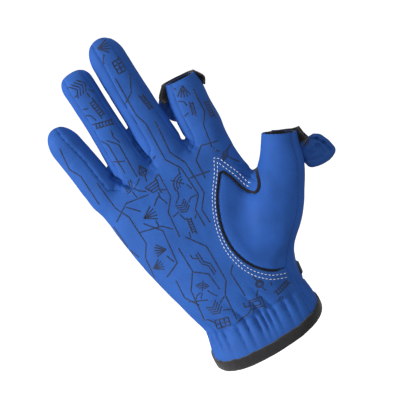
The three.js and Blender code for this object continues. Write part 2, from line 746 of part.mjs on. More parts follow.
// The space that a lining and everything inside it take, grown by grow.
function collarSpace(rows, grow) {
  const grown = rows.map((row) => ({ ...row, width: row.width + 2 * grow, depth: row.depth + 2 * grow }));
  return tubeSolid(grown, 0, FINGER_STEPS);
}

const indexRows = fingerRows(FINGERS.index);
const indexCollar = collarRows(INDEX_COLLAR, indexRows, FINGERS.index.sections, INDEX.length);
const indexLining = bandSolid(indexCollar, INDEX_COLLAR.from, INDEX_COLLAR.to, LINING);
const indexMouth = fingerPoint(FINGERS.index, INDEX.length - INDEX_CAP.below, 0);
const indexCapMouth = INDEX_CAP_SECTIONS.at(-1).depth * INDEX_CAP.depth;
const indexCapY = (indexRows.at(-1).depth + indexCapMouth) / 2 + 3 * GAP + LINING;
const indexPouch = pouch(
  INDEX_CAP,
  INDEX_CAP_SECTIONS,
  { x: indexMouth[0], y: indexCapY, z: indexMouth[1] },
  radians(INDEX.lean),
);
const indexCap = indexPouch.outer
  .subtract(indexPouch.inner)
  .subtract(fingerSolid(FINGERS.index, -GAP))
  .subtract(collarSpace(indexCollar, GAP));

const thumbRim = thumbRows.at(-1);
const thumbCollar = collarRows(THUMB_COLLAR, thumbRows, THUMB_SECTIONS, THUMB.length);
const thumbLining = bandSolid(thumbCollar, THUMB_COLLAR.from, THUMB_COLLAR.to, LINING);
const thumbCapMouth = thumbSide(THUMB_CAP.up, -THUMB_CAP.aside, 1);
const thumbPouch = pouch(
  THUMB_CAP,
  THUMB_CAP_SECTIONS,
  { x: thumbCapMouth[0], y: thumbRim.y + THUMB_CAP.depth / 2, z: thumbCapMouth[1] },
  radians(THUMB_CAP.lean),
);
const thumbCap = thumbPouch.outer
  .subtract(thumbPouch.inner)
  .subtract(thumbSolid(-GAP))
  .subtract(collarSpace(thumbCollar, GAP));

const glove = new THREE.Group();
glove.add(meshOf("palm_panel", palmPanel, materials.printed));
glove.add(meshOf("back_panel", backPanel, materials.plain));
glove.add(meshOf("thumb_panel", thumbPanel, materials.plain));
glove.add(meshOf("thumb_edging", edging, materials.binding));
strips.forEach(({ name, piece }) => glove.add(meshOf(name, piece, materials.plain)));
glove.add(meshOf("cuff_binding", cuffBinding, materials.binding));
glove.add(meshOf("wrist_tab", wristTab, materials.binding));
glove.add(meshOf("index_cap", indexCap, materials.plain));
glove.add(meshOf("index_cap_lining", indexLining, materials.lining));
glove.add(meshOf("thumb_cap", thumbCap, materials.plain));
glove.add(meshOf("thumb_cap_lining", thumbLining, materials.lining));
glove.position.x = -((CUFF_SECTIONS[0].left + CUFF_SECTIONS[0].right) / 2) * HEM.width;

export default glove;
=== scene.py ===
"""A right-hand fishing glove of smooth blue stretch cloth, worn form, with the caps of the index finger
and thumb folded back. Metres in Blender; the tables below are millimetres in the glove's own frame:
+X toward the thumb, +Z toward the fingertips, the palm faces -Y."""

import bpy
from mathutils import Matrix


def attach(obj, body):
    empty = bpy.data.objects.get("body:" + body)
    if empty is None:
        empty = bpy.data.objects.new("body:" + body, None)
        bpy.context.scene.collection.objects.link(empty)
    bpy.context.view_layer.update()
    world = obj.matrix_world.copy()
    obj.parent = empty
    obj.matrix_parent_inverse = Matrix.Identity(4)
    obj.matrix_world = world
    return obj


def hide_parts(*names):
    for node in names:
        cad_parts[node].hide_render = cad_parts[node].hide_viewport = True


bl_info = {
    "name": "Fishing glove",
    "version": (1, 0, 0),
    "blender": (4, 5, 0),
    "location": "View3D > Sidebar > Glove",
    "description": "Builds the cloth, seams, stitching and print of a fishing glove round its solids",
    "category": "Object",
}

import math
import random

import bmesh
import bpy
import numpy as np
from mathutils import Matrix, Vector
from mathutils.bvhtree import BVHTree

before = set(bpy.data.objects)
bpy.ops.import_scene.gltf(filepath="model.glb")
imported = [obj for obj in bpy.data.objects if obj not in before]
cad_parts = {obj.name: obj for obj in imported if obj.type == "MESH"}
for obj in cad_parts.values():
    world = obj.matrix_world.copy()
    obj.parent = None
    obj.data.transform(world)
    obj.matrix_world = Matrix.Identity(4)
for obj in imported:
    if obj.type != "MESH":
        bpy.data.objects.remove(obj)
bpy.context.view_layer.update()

MM = 0.001

# Sizes that the solids follow too
GAP = 0.3
HEM = (77.3, 53.0)
WRIST = (73.8, 46.0)
PALM = (100.0, 44.0)
CUFF_LENGTH = 28.0
PALM_LENGTH = 112.0
HEM_TILT = 18.0
HEM_ROLL = 3.0
PLEATS = 15
FINGER_CURL = 7.0
MIDDLE_LENGTH = 97.0
ROOT_HEIGHT = CUFF_LENGTH + 0.875 * PALM_LENGTH
HEM_CENTRE = (0.524 - 0.476) / 2 * HEM[0]
HAND_SQUARENESS = 2.4
TUBE_SQUARENESS = 2.2
THUMB_SQUARENESS = 2.15

# Sections of the hand from the hem up: size, height, left, right, front, back, share of the hem's tilt
HAND_SECTIONS = [
    (HEM, 0.0, -0.476, 0.524, 0.5, 0.5, 1.0),
    (HEM, 0.22 * CUFF_LENGTH, -0.472, 0.524, 0.485, 0.485, 0.8),
    (WRIST, 0.4 * CUFF_LENGTH, -0.475, 0.54, 0.525, 0.52, 0.6),
    (WRIST, 0.58 * CUFF_LENGTH, -0.467, 0.533, 0.5, 0.5, 0.45),
    (WRIST, 0.8 * CUFF_LENGTH, -0.468, 0.525, 0.5, 0.49, 0.25),
    (PALM, CUFF_LENGTH + 0.01 * PALM_LENGTH, -0.365, 0.39, 0.54, 0.51, 0.12),
    (PALM, CUFF_LENGTH + 0.06 * PALM_LENGTH, -0.384, 0.395, 0.55, 0.5, 0.0),
    (PALM, CUFF_LENGTH + 0.13 * PALM_LENGTH, -0.408, 0.4, 0.55, 0.49, 0.0),
    (PALM, CUFF_LENGTH + 0.21 * PALM_LENGTH, -0.437, 0.4, 0.53, 0.46, 0.0),
    (PALM, CUFF_LENGTH + 0.31 * PALM_LENGTH, -0.466, 0.395, 0.5, 0.43, 0.0),
    (PALM, CUFF_LENGTH + 0.43 * PALM_LENGTH, -0.503, 0.385, 0.45, 0.4, 0.0),
    (PALM, CUFF_LENGTH + 0.56 * PALM_LENGTH, -0.532, 0.41, 0.41, 0.375, 0.0),
    (PALM, CUFF_LENGTH + 0.67 * PALM_LENGTH, -0.552, 0.415, 0.375, 0.355, 0.0),
    (PALM, CUFF_LENGTH + 0.79 * PALM_LENGTH, -0.57, 0.395, 0.34, 0.33, 0.0),
    (PALM, CUFF_LENGTH + 0.89 * PALM_LENGTH, -0.59, 0.385, 0.28, 0.275, 0.0),
    (PALM, CUFF_LENGTH + 0.965 * PALM_LENGTH, -0.575, 0.36, 0.12, 0.12, 0.0),
]

# Each finger: root across the palm, drop, length, width, depth, lean, how square its tip is, whether it is
# open, and its sections as (along, width, depth, shift) in shares of those sizes
FINGERS = {
    "little": dict(
        root=-0.472, drop=6.0, length=65.7, width=22.6, depth=18.5, lean=11.0, tip=2.2, open=False,
        sections=[(0.0, 0.8, 0.95, 0.03), (0.15, 1.0, 1.1, 0.0), (0.3, 1.02, 1.06, 0.0),
                  (0.48, 1.01, 1.0, 0.01), (0.74, 0.96, 0.97, 0.0)],
    ),
    "ring": dict(
        root=-0.263, drop=0.0, length=85.7, width=21.8, depth=20.0, lean=4.0, tip=2.6, open=False,
        sections=[(0.0, 1.06, 1.08, 0.0), (0.14, 1.1, 1.12, 0.0), (0.3, 1.09, 1.04, 0.01),
                  (0.42, 1.03, 1.0, 0.01), (0.55, 0.985, 1.0, 0.01), (0.7, 0.985, 0.98, 0.0),
                  (0.872, 1.01, 0.96, 0.0)],
    ),
    "middle": dict(
        root=-0.016, drop=0.0, length=MIDDLE_LENGTH, width=25.0, depth=21.5, lean=3.4, tip=2.1, open=False,
        sections=[(0.0, 1.05, 1.1, 0.02), (0.16, 1.08, 1.1, 0.02), (0.29, 1.07, 1.04, 0.01),
                  (0.4, 1.01, 1.02, 0.01), (0.55, 0.99, 0.99, 0.0), (0.835, 0.965, 0.95, 0.0)],
    ),
    "index": dict(
        root=0.263, drop=0.0, length=49.0, width=26.0, depth=22.0, lean=-1.5, tip=2.0, open=True,
        sections=[(0.0, 0.84, 0.95, -0.02), (0.18, 0.985, 1.08, 0.0), (0.64, 1.0, 1.0, -0.01),
                  (0.82, 0.95, 0.97, 0.01), (1.0, 0.8, 0.9, 0.03)],
    ),
}

# The thumb: its root on the palm, sizes, lean, and sections as (along, bow, turn, width, depth, forward)
THUMB = dict(root=(0.24, 0.15), length=83.0, width=38.0, depth=34.0, lean=-32.8)
THUMB_SECTIONS = [
    (0.0, 0.0, 0.0, 0.8, 0.9, 0.06),
    (0.184, -0.005, -2.0, 0.95, 1.08, 0.12),
    (0.391, 0.006, -5.0, 1.05, 1.06, 0.18),
    (0.604, 0.03, -3.0, 0.92, 0.88, 0.24),
    (0.795, 0.036, 6.0, 0.76, 0.76, 0.27),
    (0.907, 0.017, 8.0, 0.66, 0.7, 0.27),
    (1.0, 0.0, 8.5, 0.605, 0.66, 0.27),
]

# Edge of the thumb inset, up its palm side and then down into the web, in shares of the palm's sizes
INSET_LEFT = [(0.325, 0.064), (0.22, 0.108), (0.125, 0.198), (0.074, 0.325), (0.083, 0.464),
              (0.14, 0.603), (0.23, 0.722)]
INSET_WEB = [(0.245, 0.722), (0.275, 0.665), (0.31, 0.578), (0.365, 0.534), (0.42, 0.565), (0.455, 0.66)]
SIDE_SEAM = (0.95, 0.8, 0.6, 0.4, 0.2)
THUMB_SEAM_INSET = 4.5
FRONT_OF_THUMB = 5.0
STRIP_BACK = 5.5
STRIP_POINTS = (0.2, 0.4, 0.6, 0.85, 1.06)
STRIP_TIP_SHARE = 0.8

# Side strips between the fingers: first and second finger, their insets, the lower point on the palm
STRIPS = {
    "little_ring": ("little", "ring", 8.0, 4.0, (-0.385, 0.91)),
    "ring_middle": ("ring", "middle", 3.2, 6.5, (-0.155, 0.96)),
    "middle_index": ("middle", "index", 3.2, 4.5, (0.128, 0.91)),
}


# Curves and sections


def through(at, values):
    """A smooth function through a table's values."""
    at = np.asarray(at, float)
    values = np.asarray(values, float)
    slopes = np.gradient(values, at)

    def value(x):
        x = np.clip(x, at[0], at[-1])
        k = np.clip(np.searchsorted(at, x, side="right") - 1, 0, len(at) - 2)
        span = at[k + 1] - at[k]
        t = (x - at[k]) / span
        low = (2 * t**3 - 3 * t**2 + 1) * values[k] + (t**3 - 2 * t**2 + t) * span * slopes[k]
        high = (3 * t**2 - 2 * t**3) * values[k + 1] + (t**3 - t**2) * span * slopes[k + 1]
        return low + high

    return value


def norm(u, v, power):
    return (np.abs(u) ** power + np.abs(v) ** power) ** (1 / power)


# How an open finger's tube closes, far enough past its rim to be cut off there: rise, power, length past it
OPEN_END = (4.0, 2.0, 8.0)
ROOT_RISE = 8.0
HAND_TOP_RISE = 3.0


class Tube:
    """A tube along a gently bent axis in the XZ plane, with superellipse sections."""

    def __init__(self, rows, power, tip_rise, tip_power, past):
        at, x, y, z, lean, width, depth = np.array(rows, float).T
        self.first, self.last, self.past = at[0], at[-1], past
        self.power, self.tip_rise, self.tip_power = power, tip_rise, tip_power
        self.x, self.y, self.z = through(at, x), through(at, y), through(at, z)
        self.lean = through(at, lean)
        self.width, self.depth = through(at, width), through(at, depth)
        reach = max(width.max(), depth.max()) / 2 + 10
        ends = [self.axis_point(at[0]), self.axis_point(at[-1] + past + tip_rise)]
        self.low = np.min([*ends, np.stack([x, y, z]).min(1)], axis=0) - reach
        self.high = np.max([*ends, np.stack([x, y, z]).max(1)], axis=0) + reach

    def axis_point(self, s):
        inside = np.clip(s, self.first, self.last)
        lean = self.lean(inside)
        over = s - inside
        return np.array([
            self.x(inside) - np.sin(lean) * over,
            self.y(inside),
            self.z(inside) + np.cos(lean) * over,
        ])

    def along(self, x, z):
        """The distance along the axis of the section that each point lies on."""
        s = np.full(x.shape, (self.first + self.last) / 2)
        for _ in range(5):
            inside = np.clip(s, self.first, self.last)
            lean = self.lean(inside)
            step = (z - self.z(inside)) * np.cos(lean) - (x - self.x(inside)) * np.sin(lean)
            s = inside + step
        return s

    def distance(self, p):
        x, y, z = p
        s = self.along(x, z)
        inside = np.clip(s, self.first, self.last)
        lean = self.lean(inside)
        u = (x - self.x(inside)) * np.cos(lean) + (z - self.z(inside)) * np.sin(lean)
        v = y - self.y(inside)
        rho = norm(u / (self.width(inside) / 2), v / (self.depth(inside) / 2), self.power)
        over = np.maximum(0, s - self.last - self.past)
        under = np.maximum(0, self.first - s)
        rho = norm(rho, over / self.tip_rise, self.tip_power)
        rho = np.maximum(norm(rho, under / ROOT_RISE, 2.0), 1e-3)
        return np.sqrt(u**2 + v**2 + over**2 + under**2 + 1e-6) * (1 - 1 / rho)


def finger_point(finger, along, aside):
    """A point in XZ, along a finger from its root and aside from its axis."""
    lean = math.radians(finger["lean"])
    x = finger["root"] * PALM[0] - math.sin(lean) * along + math.cos(lean) * aside
    z = ROOT_HEIGHT - finger["drop"] + math.cos(lean) * along + math.sin(lean) * aside
    return x, z


def finger_tube(finger):
    rows = []
    for along, width, depth, shift in finger["sections"]:
        x, z = finger_point(finger, along * finger["length"], shift * finger["width"])
        rows.append((along * finger["length"], x, 0, z, math.radians(finger["lean"]),
                     width * finger["width"], depth * finger["depth"]))
    if finger["open"]:
        return Tube(rows, TUBE_SQUARENESS, *OPEN_END)
    rise = finger["length"] * (1 - finger["sections"][-1][0])
    return Tube(rows, TUBE_SQUARENESS, rise, finger["tip"], 0.0)


def palm_point(across, up):
    """A point in XZ from shares of the palm's width and length."""
    return across * PALM[0], CUFF_LENGTH + up * PALM_LENGTH


def thumb_rows():
    """The thumb's sections as rows for its tube, bowed and turned along its lean."""
    lean = math.radians(THUMB["lean"])
    root = palm_point(*THUMB["root"])
    rows = []
    for along, bow, turn, width, depth, forward in THUMB_SECTIONS:
        s, aside = along * THUMB["length"], bow * THUMB["length"]
        x = root[0] - math.sin(lean) * s + math.cos(lean) * aside
        z = root[1] + math.cos(lean) * s + math.sin(lean) * aside
        rows.append((s, x, -forward * THUMB["depth"], z, lean + math.radians(turn),
                     width * THUMB["width"], depth * THUMB["depth"]))
    return rows


class Hand:
    """The palm and cuff: sections across Z whose planes tip toward the hem."""

    def __init__(self):
        z = [row[1] for row in HAND_SECTIONS]
        wide = [row[0][0] for row in HAND_SECTIONS]
        deep = [row[0][1] for row in HAND_SECTIONS]
        self.top = z[-1]
        self.left = through(z, [w * row[2] for w, row in zip(wide, HAND_SECTIONS)])
        self.right = through(z, [w * row[3] for w, row in zip(wide, HAND_SECTIONS)])
        self.front = through(z, [d * row[4] for d, row in zip(deep, HAND_SECTIONS)])
        self.back = through(z, [d * row[5] for d, row in zip(deep, HAND_SECTIONS)])
        self.tilt = through(z, [row[6] for row in HAND_SECTIONS])

    def slopes(self, s):
        tilt = self.tilt(s)
        return np.tan(np.radians(HEM_TILT * tilt)), np.tan(np.radians(HEM_ROLL * tilt))

    def section(self, x, y, z):
        """The height of the section that each point lies on."""
        s = z
        for _ in range(6):
            slope, roll = self.slopes(s)
            s = z - y * slope - x * roll
        return s

    def local(self, p):
        """Shares of the half width and half depth of each point's section, and its height."""
        x, y, z = p
        s = self.section(x, y, z)
        middle = (self.right(s) + self.left(s)) / 2
        a = (self.right(s) - self.left(s)) / 2
        b = np.where(y < 0, self.front(s), self.back(s))
        return x - middle, y, a, b, s

    def distance(self, p):
        u, v, a, b, s = self.local(p)
        rho = norm(u / a, v / b, HAND_SQUARENESS)
        over = np.maximum(0, s - self.top)
        rho = np.maximum(norm(rho, over / HAND_TOP_RISE, 2.0), 1e-3)
        return np.sqrt(u**2 + v**2 + over**2 + 1e-6) * (1 - 1 / rho)

    def point(self, angle, s, out=0.0):
        """A point of a section, at an angle round it, moved out from it."""
        slope, roll = self.slopes(s)
        middle = (self.right(s) + self.left(s)) / 2
        a = (self.right(s) - self.left(s)) / 2 + out
        b = np.where(np.sin(angle) < 0, self.front(s), self.back(s)) + out
        c, n = np.cos(angle), np.sin(angle)
        u = np.sign(c) * a * np.abs(c) ** (2 / HAND_SQUARENESS)
        v = np.sign(n) * b * np.abs(n) ** (2 / HAND_SQUARENESS)
        x = middle + u
        return np.stack([x, v, s + v * slope + x * roll], axis=-1)


HAND = Hand()
TUBES = {name: finger_tube(finger) for name, finger in FINGERS.items()}
TUBES["thumb"] = Tube(thumb_rows(), THUMB_SQUARENESS, *OPEN_END)
# How softly each finger runs into the hand
FILLET = {"thumb": 7.0, "index": 5.0, "middle": 5.0, "ring": 5.0, "little": 5.0}


def blend_of(a, b, width):
    """The union of two distances, with a fillet of about that width between them."""
    share = np.clip(0.5 + 0.5 * (b - a) / width, 0, 1)
    return b * (1 - share) + a * share - width * share * (1 - share)


def glove_distance(p):
    """Distance from the outside of the whole cloth, below 0 inside."""
    hand = HAND.distance(p)
    whole = hand.copy()
    for name, tube in TUBES.items():
        near = np.all([(p[i] > tube.low[i]) & (p[i] < tube.high[i]) for i in range(3)], axis=0)
        if near.any():
            part = tuple(axis[near] for axis in p)
            joined = blend_of(hand[near], tube.distance(part), FILLET[name])
            whole[near] = np.minimum(whole[near], joined)
    return whole


# Outlines of the panels, in the XZ plane


def spline(points, count):
    """Evenly counted points on a smooth curve through points."""
    points = np.array(points, float)
    padded = np.vstack([2 * points[0] - points[1], points, 2 * points[-1] - points[-2]])
    out = []
    for k in np.linspace(0, len(points) - 1, count):
        i = min(int(k), len(points) - 2)
        t = k - i
        a, b, c, d = padded[i:i + 4]
        out.append(0.5 * (2 * b + (c - a) * t + (2 * a - 5 * b + 4 * c - d) * t**2
                          + (3 * b - a - 3 * c + d) * t**3))
    return np.array(out)


def resampled(points, step):
    """Points at an even step along a line."""
    points = np.asarray(points, float)
    length = np.concatenate([[0], np.cumsum(np.linalg.norm(np.diff(points, axis=0), axis=1))])
    at = np.linspace(0, length[-1], max(2, int(round(length[-1] / step)) + 1))
    return np.stack([np.interp(at, length, points[:, i]) for i in range(points.shape[1])], axis=1)


def line_distance(x, z, points, closed=False):
    """Distance from a line of points, and for a closed one below 0 inside it."""
    points = np.asarray(points, float)
    ends = np.roll(points, -1, axis=0) if closed else points[1:]
    best = np.full(x.shape, 1e9)
    crossings = np.zeros(x.shape, bool)
    for (ax, az), (bx, bz) in zip(points, ends):
        dx, dz = bx - ax, bz - az
        t = np.clip(((x - ax) * dx + (z - az) * dz) / (dx * dx + dz * dz + 1e-12), 0, 1)
        best = np.minimum(best, (x - ax - t * dx) ** 2 + (z - az - t * dz) ** 2)
        if closed and dz != 0:
            crossings ^= ((az > z) != (bz > z)) & (x < ax + dx * (z - az) / dz)
    best = np.sqrt(best)
    return np.where(crossings, -best, best) if closed else best


def thumb_side(along, inset, sign):
    """A point in XZ on a side of the thumb, set in from its outline."""
    tube = TUBES["thumb"]
    s = along * THUMB["length"]
    lean = float(tube.lean(s))
    x, _, z = tube.axis_point(s)
    reach = sign * (float(tube.width(s)) / 2 - inset)
    return x + math.cos(lean) * reach, z + math.sin(lean) * reach


def past_rim(point, distance):
    """A point moved on past the thumb's rim, along its axis there."""
    lean = float(TUBES["thumb"].lean(THUMB["length"]))
    return point[0] - math.sin(lean) * distance, point[1] + math.cos(lean) * distance


INSET_EDGE = np.vstack([
    spline([palm_point(*p) for p in INSET_LEFT], 60),
    spline([palm_point(*p) for p in INSET_WEB], 44),
])
SEAM_LINE = spline(
    [past_rim(thumb_side(1.0, THUMB_SEAM_INSET / 2, 1), 12.0)]
    + [thumb_side(at, THUMB_SEAM_INSET, 1) for at in SIDE_SEAM]
    + [tuple(INSET_EDGE[0])], 70)
INSET_OUTLINE = np.vstack([
    INSET_EDGE,
    [thumb_side(0.93, -4.0, -1), past_rim(thumb_side(1.0, -6.0, -1), 14.0)],
    SEAM_LINE[:-1],
])
RIGHT_OUTLINE = np.vstack([SEAM_LINE, [(INSET_EDGE[0][0], -60), (300, -60), (300, SEAM_LINE[0][1])]])


def strip_outline(first, second, first_inset, second_inset, bottom):
    """Outline of a side strip: down one finger's seam to its point on the palm and up the other's."""

    def seam(finger, inset, sign):
        points = []
        for along in STRIP_POINTS:
            row = [section for section in finger["sections"] if section[0] <= along][-1]
            tip = STRIP_TIP_SHARE if not finger["open"] and along > finger["sections"][-1][0] else 1.0
            reach = sign * (row[1] * finger["width"] / 2 - inset) * tip + row[3] * finger["width"]
            points.append(finger_point(finger, along * finger["length"], reach))
        return spline(points, 40)

    down = seam(FINGERS[first], first_inset, 1)[::-1]
    return np.vstack([down, [palm_point(*bottom)], seam(FINGERS[second], second_inset, -1)])


STRIP_OUTLINES = {name: strip_outline(*row) for name, row in STRIPS.items()}


# Meshes as numpy arrays


def surface_of(distance, low, high, step):
    """Vertices and quads where distance is 0, by surface nets on a grid."""
    axes = [np.arange(lo, hi + step, step) for lo, hi in zip(low, high)]
    shape = tuple(len(axis) for axis in axes)
    field = np.empty(shape, np.float32)
    yy, zz = np.meshgrid(axes[1], axes[2], indexing="ij")
    slab = 12
    for i in range(0, shape[0], slab):
        xx = axes[0][i:i + slab][:, None, None]
        p = (np.broadcast_to(xx, (xx.shape[0],) + yy.shape).ravel(),
             np.broadcast_to(yy, (xx.shape[0],) + yy.shape).ravel(),
             np.broadcast_to(zz, (xx.shape[0],) + zz.shape).ravel())
        field[i:i + slab] = distance(p).reshape(xx.shape[0], *yy.shape)
    cells = tuple(n - 1 for n in shape)
    count = np.zeros(cells, np.float32)
    total = np.zeros(cells + (3,), np.float32)
    edges = []
    for axis in range(3):
        first = np.take(field, range(shape[axis] - 1), axis)
        second = np.take(field, range(1, shape[axis]), axis)
        cross = (first < 0) != (second < 0)
        t = np.where(cross, first / np.where(cross, first - second, 1), 0)
        edges.append((cross, first < 0))
        others = [k for k in range(3) if k != axis]
        for offset in ((0, 0), (0, 1), (1, 0), (1, 1)):
            window = [slice(None)] * 3
            for k, o in zip(others, offset):
                window[k] = slice(o, o + cells[k])
            window = tuple(window)
            hit = cross[window]
            count += hit
            total[..., axis] += t[window]
            for k, o in zip(others, offset):
                total[..., k] += o * hit
    used = count > 0
    index = np.full(cells, -1, np.int64)
    index[used] = np.arange(used.sum())
    where = np.argwhere(used)
    verts = (where + total[used] / count[used][:, None]) * step + np.array([axis[0] for axis in axes])
    quads = []
    for axis in range(3):
        cross, inside = edges[axis]
        b, c = [k for k in range(3) if k != axis]
        window = [slice(None)] * 3
        window[b] = slice(1, cells[b])
        window[c] = slice(1, cells[c])
        at = np.argwhere(cross[tuple(window)])
        at[:, b] += 1
        at[:, c] += 1
        corner = []
        for ob, oc in ((-1, -1), (0, -1), (0, 0), (-1, 0)):
            cell = at.copy()
            cell[:, b] += ob
            cell[:, c] += oc
            corner.append(index[tuple(cell.T)])
        quad = np.stack(corner, axis=1)
        turned = inside[tuple(at.T)] ^ (axis == 1)
        quad[~turned] = quad[~turned][:, ::-1]
        quads.append(quad)
    return verts.astype(float), np.vstack(quads)


def gradient(distance, verts, reach=0.25):
    """How fast a distance grows in each direction at each vertex."""
    slope = np.empty_like(verts)
    for axis in range(3):
        shift = np.zeros(3)
        shift[axis] = reach
        slope[:, axis] = distance(tuple((verts + shift).T)) - distance(tuple((verts - shift).T))
    return slope / (2 * reach)


def triangles_of(verts, quads):
    """Quads cut along their shorter diagonals."""
    first = np.linalg.norm(verts[quads[:, 0]] - verts[quads[:, 2]], axis=1)
    second = np.linalg.norm(verts[quads[:, 1]] - verts[quads[:, 3]], axis=1)
    q = np.where((first <= second)[:, None], quads, np.roll(quads, -1, axis=1))
    return np.vstack([q[:, [0, 1, 2]], q[:, [0, 2, 3]]])


# A patch with no more triangles than this is a scrap of a cut, and is dropped
SCRAP = 60


class Skin:
    """Triangles with values at their vertices, which can be cut where a value is 0."""

    def __init__(self, values, tris):
        self.values, self.tris = values, tris

    def __getitem__(self, name):
        return self.values[name]

    def cut(self, level):
        """The parts where level is above 0 and below 0."""
        level = np.where(np.abs(level) < 1e-4, 1e-4, level)
        up = level[self.tris] > 0
        count = up.sum(1)
        mixed = self.tris[(count == 1) | (count == 2)]
        alone_up = (level[mixed] > 0).sum(1) == 1
        alone = np.where(alone_up[:, None], level[mixed] > 0, level[mixed] <= 0).argmax(1)
        rows = np.arange(len(mixed))
        a = mixed[rows, alone]
        b = mixed[rows, (alone + 1) % 3]
        c = mixed[rows, (alone + 2) % 3]
        pairs = np.sort(np.vstack([np.stack([a, b], 1), np.stack([a, c], 1)]), axis=1)
        edges, where = np.unique(pairs, axis=0, return_inverse=True)
        where = where.reshape(-1)
        t = level[edges[:, 0]] / (level[edges[:, 0]] - level[edges[:, 1]])
        start = len(level)
        values = {}
        for name, value in self.values.items():
            share = t[:, None] if value.ndim == 2 else t
            new = value[edges[:, 0]] * (1 - share) + value[edges[:, 1]] * share
            values[name] = np.concatenate([value, new])
        ab, ac = start + where[:len(mixed)], start + where[len(mixed):]
        tip = np.stack([a, ab, ac], 1)
        rest = np.vstack([np.stack([ab, b, c], 1), np.stack([ab, c, ac], 1)])
        rest_up = np.concatenate([~alone_up, ~alone_up])
        above = np.vstack([self.tris[count == 3], tip[alone_up], rest[rest_up]])
        below = np.vstack([self.tris[count == 0], tip[~alone_up], rest[~rest_up]])
        return Skin(values, above).tidy(), Skin(values, below).tidy()

    def tidy(self):
        used, tris = np.unique(self.tris, return_inverse=True)
        self.tris = tris.reshape(-1, 3)
        self.values = {name: value[used] for name, value in self.values.items()}
        return self

    def without_scraps(self):
        """The same skin without patches of only a few triangles."""
        parent = np.arange(len(self["p"]))
        for _ in range(400):
            low = parent[self.tris].min(1)
            new = parent.copy()
            for k in range(3):
                np.minimum.at(new, self.tris[:, k], low)
            new = new[new]
            if (new == parent).all():
                break
            parent = new
        label = parent[self.tris[:, 0]]
        names, size = np.unique(label, return_counts=True)
        keep = np.isin(label, names[size > SCRAP])
        return Skin(self.values, self.tris[keep]).tidy()


# The cloth's relief

# The thumb inset's edging: width, how far from its low end it comes to full width, thickness
EDGE_WIDTH = 1.5
EDGE_RUN_OUT = 9.0
EDGE_TAPE = 1.2

# The gathers at the wrist elastic: their depth at heights above the hem as shares of the gather depth, and
# waves that make the pleats uneven, as (share of a pleat, waves round the wrist, turn)
GATHERS = through(
    [1.0, 5.0, 9.0, 14.0, 20.0, 24.0, 29.0, 35.0, 41.0],
    [0.0, 0.1, 0.35, 0.85, 1.15, 1.0, 0.6, 0.25, 0.0],
)
GATHERS_TOP = 44.0
GATHERS_ON_BACK = 0.7
ELASTIC_HEIGHT = 20.0
ELASTIC_DIP = 0.7
PETAL_SWELL = 0.5
PETAL_HEIGHT = 11.0
PLEAT_WAVES = [(0.16, 5, 0.6), (0.1, 13, 0.0)]


def turns_round(height):
    """Angles round a section and the share of the way round it at each."""
    angles = np.linspace(0, 2 * math.pi, 721)
    way = np.linalg.norm(np.diff(HAND.point(angles, height)[:, :2], axis=0), axis=1)
    return angles, np.concatenate([[0], np.cumsum(way)]) / way.sum()


ROUND_ANGLES, ROUND_SHARES = turns_round(ELASTIC_HEIGHT)

# Creases of the worn cloth, in XZ: both ends, depth, width
CREASES = [
    ((-41, 140), (-33, 129), 3.2, 1.5), ((-17, 153), (-14, 137), 3.4, 1.4),
    ((11, 141), (18, 131), 1.4, 1.6), ((-36, 132), (-30, 127), 2.0, 1.2),
    ((-15, 143), (-12, 132), 2.0, 1.2), ((-44, 127), (-52, 124), 0.4, 2.4),
    ((-36, 126), (-12, 128), 0.35, 2.2), ((-8, 124), (12, 127), 0.3, 2.6),
    ((34.8, 110.5), (42.7, 97.9), 2.0, 1.3), ((34.6, 104.5), (41, 95), 1.6, 1.2),
    ((38, 114), (44, 102), 0.6, 1.6), ((38, 84), (52, 96), 0.5, 3.0),
    ((46, 90), (60, 88), 0.4, 2.6), ((34, 44), (41, 41), 0.5, 2.4),
    ((26, 40), (37, 47), 0.35, 2.8), ((-33, 26), (-26, 19), 0.5, 1.8),
    ((-24, 30), (-19, 20), 0.4, 1.8), ((30, 30), (36, 22), 0.6, 1.8),
    ((-14, 176), (-4, 178), 0.25, 1.8), ((-38, 170), (-28, 172), 0.25, 1.8),
    ((-62, 160), (-54, 162), 0.25, 1.8), ((20, 151), (36, 153), 0.3, 2.0),
    ((62, 95), (70, 88), 0.3, 2.4), ((24, 172), (37, 167), 0.4, 1.5),
]


def segment_distance(x, z, a, b):
    dx, dz = b[0] - a[0], b[1] - a[1]
    t = np.clip(((x - a[0]) * dx + (z - a[1]) * dz) / (dx * dx + dz * dz), 0, 1)
    return np.hypot(x - a[0] - t * dx, z - a[1] - t * dz), t


RIPPLE_WAVES = 5


def ripple(p, length, seed):
    """Soft unevenness from a few plane waves of about that length."""
    draw = random.Random(seed)
    total = 0
    for _ in range(RIPPLE_WAVES):
        way = np.array([draw.gauss(0, 1) for _ in range(3)])
        way *= 2 * math.pi / (length * draw.uniform(0.75, 1.4) * np.linalg.norm(way))
        total = total + np.sin(p @ way + draw.uniform(0, 6.28))
    return total / RIPPLE_WAVES


def valley(distance, width):
    return np.exp(-((distance / width) ** 2))


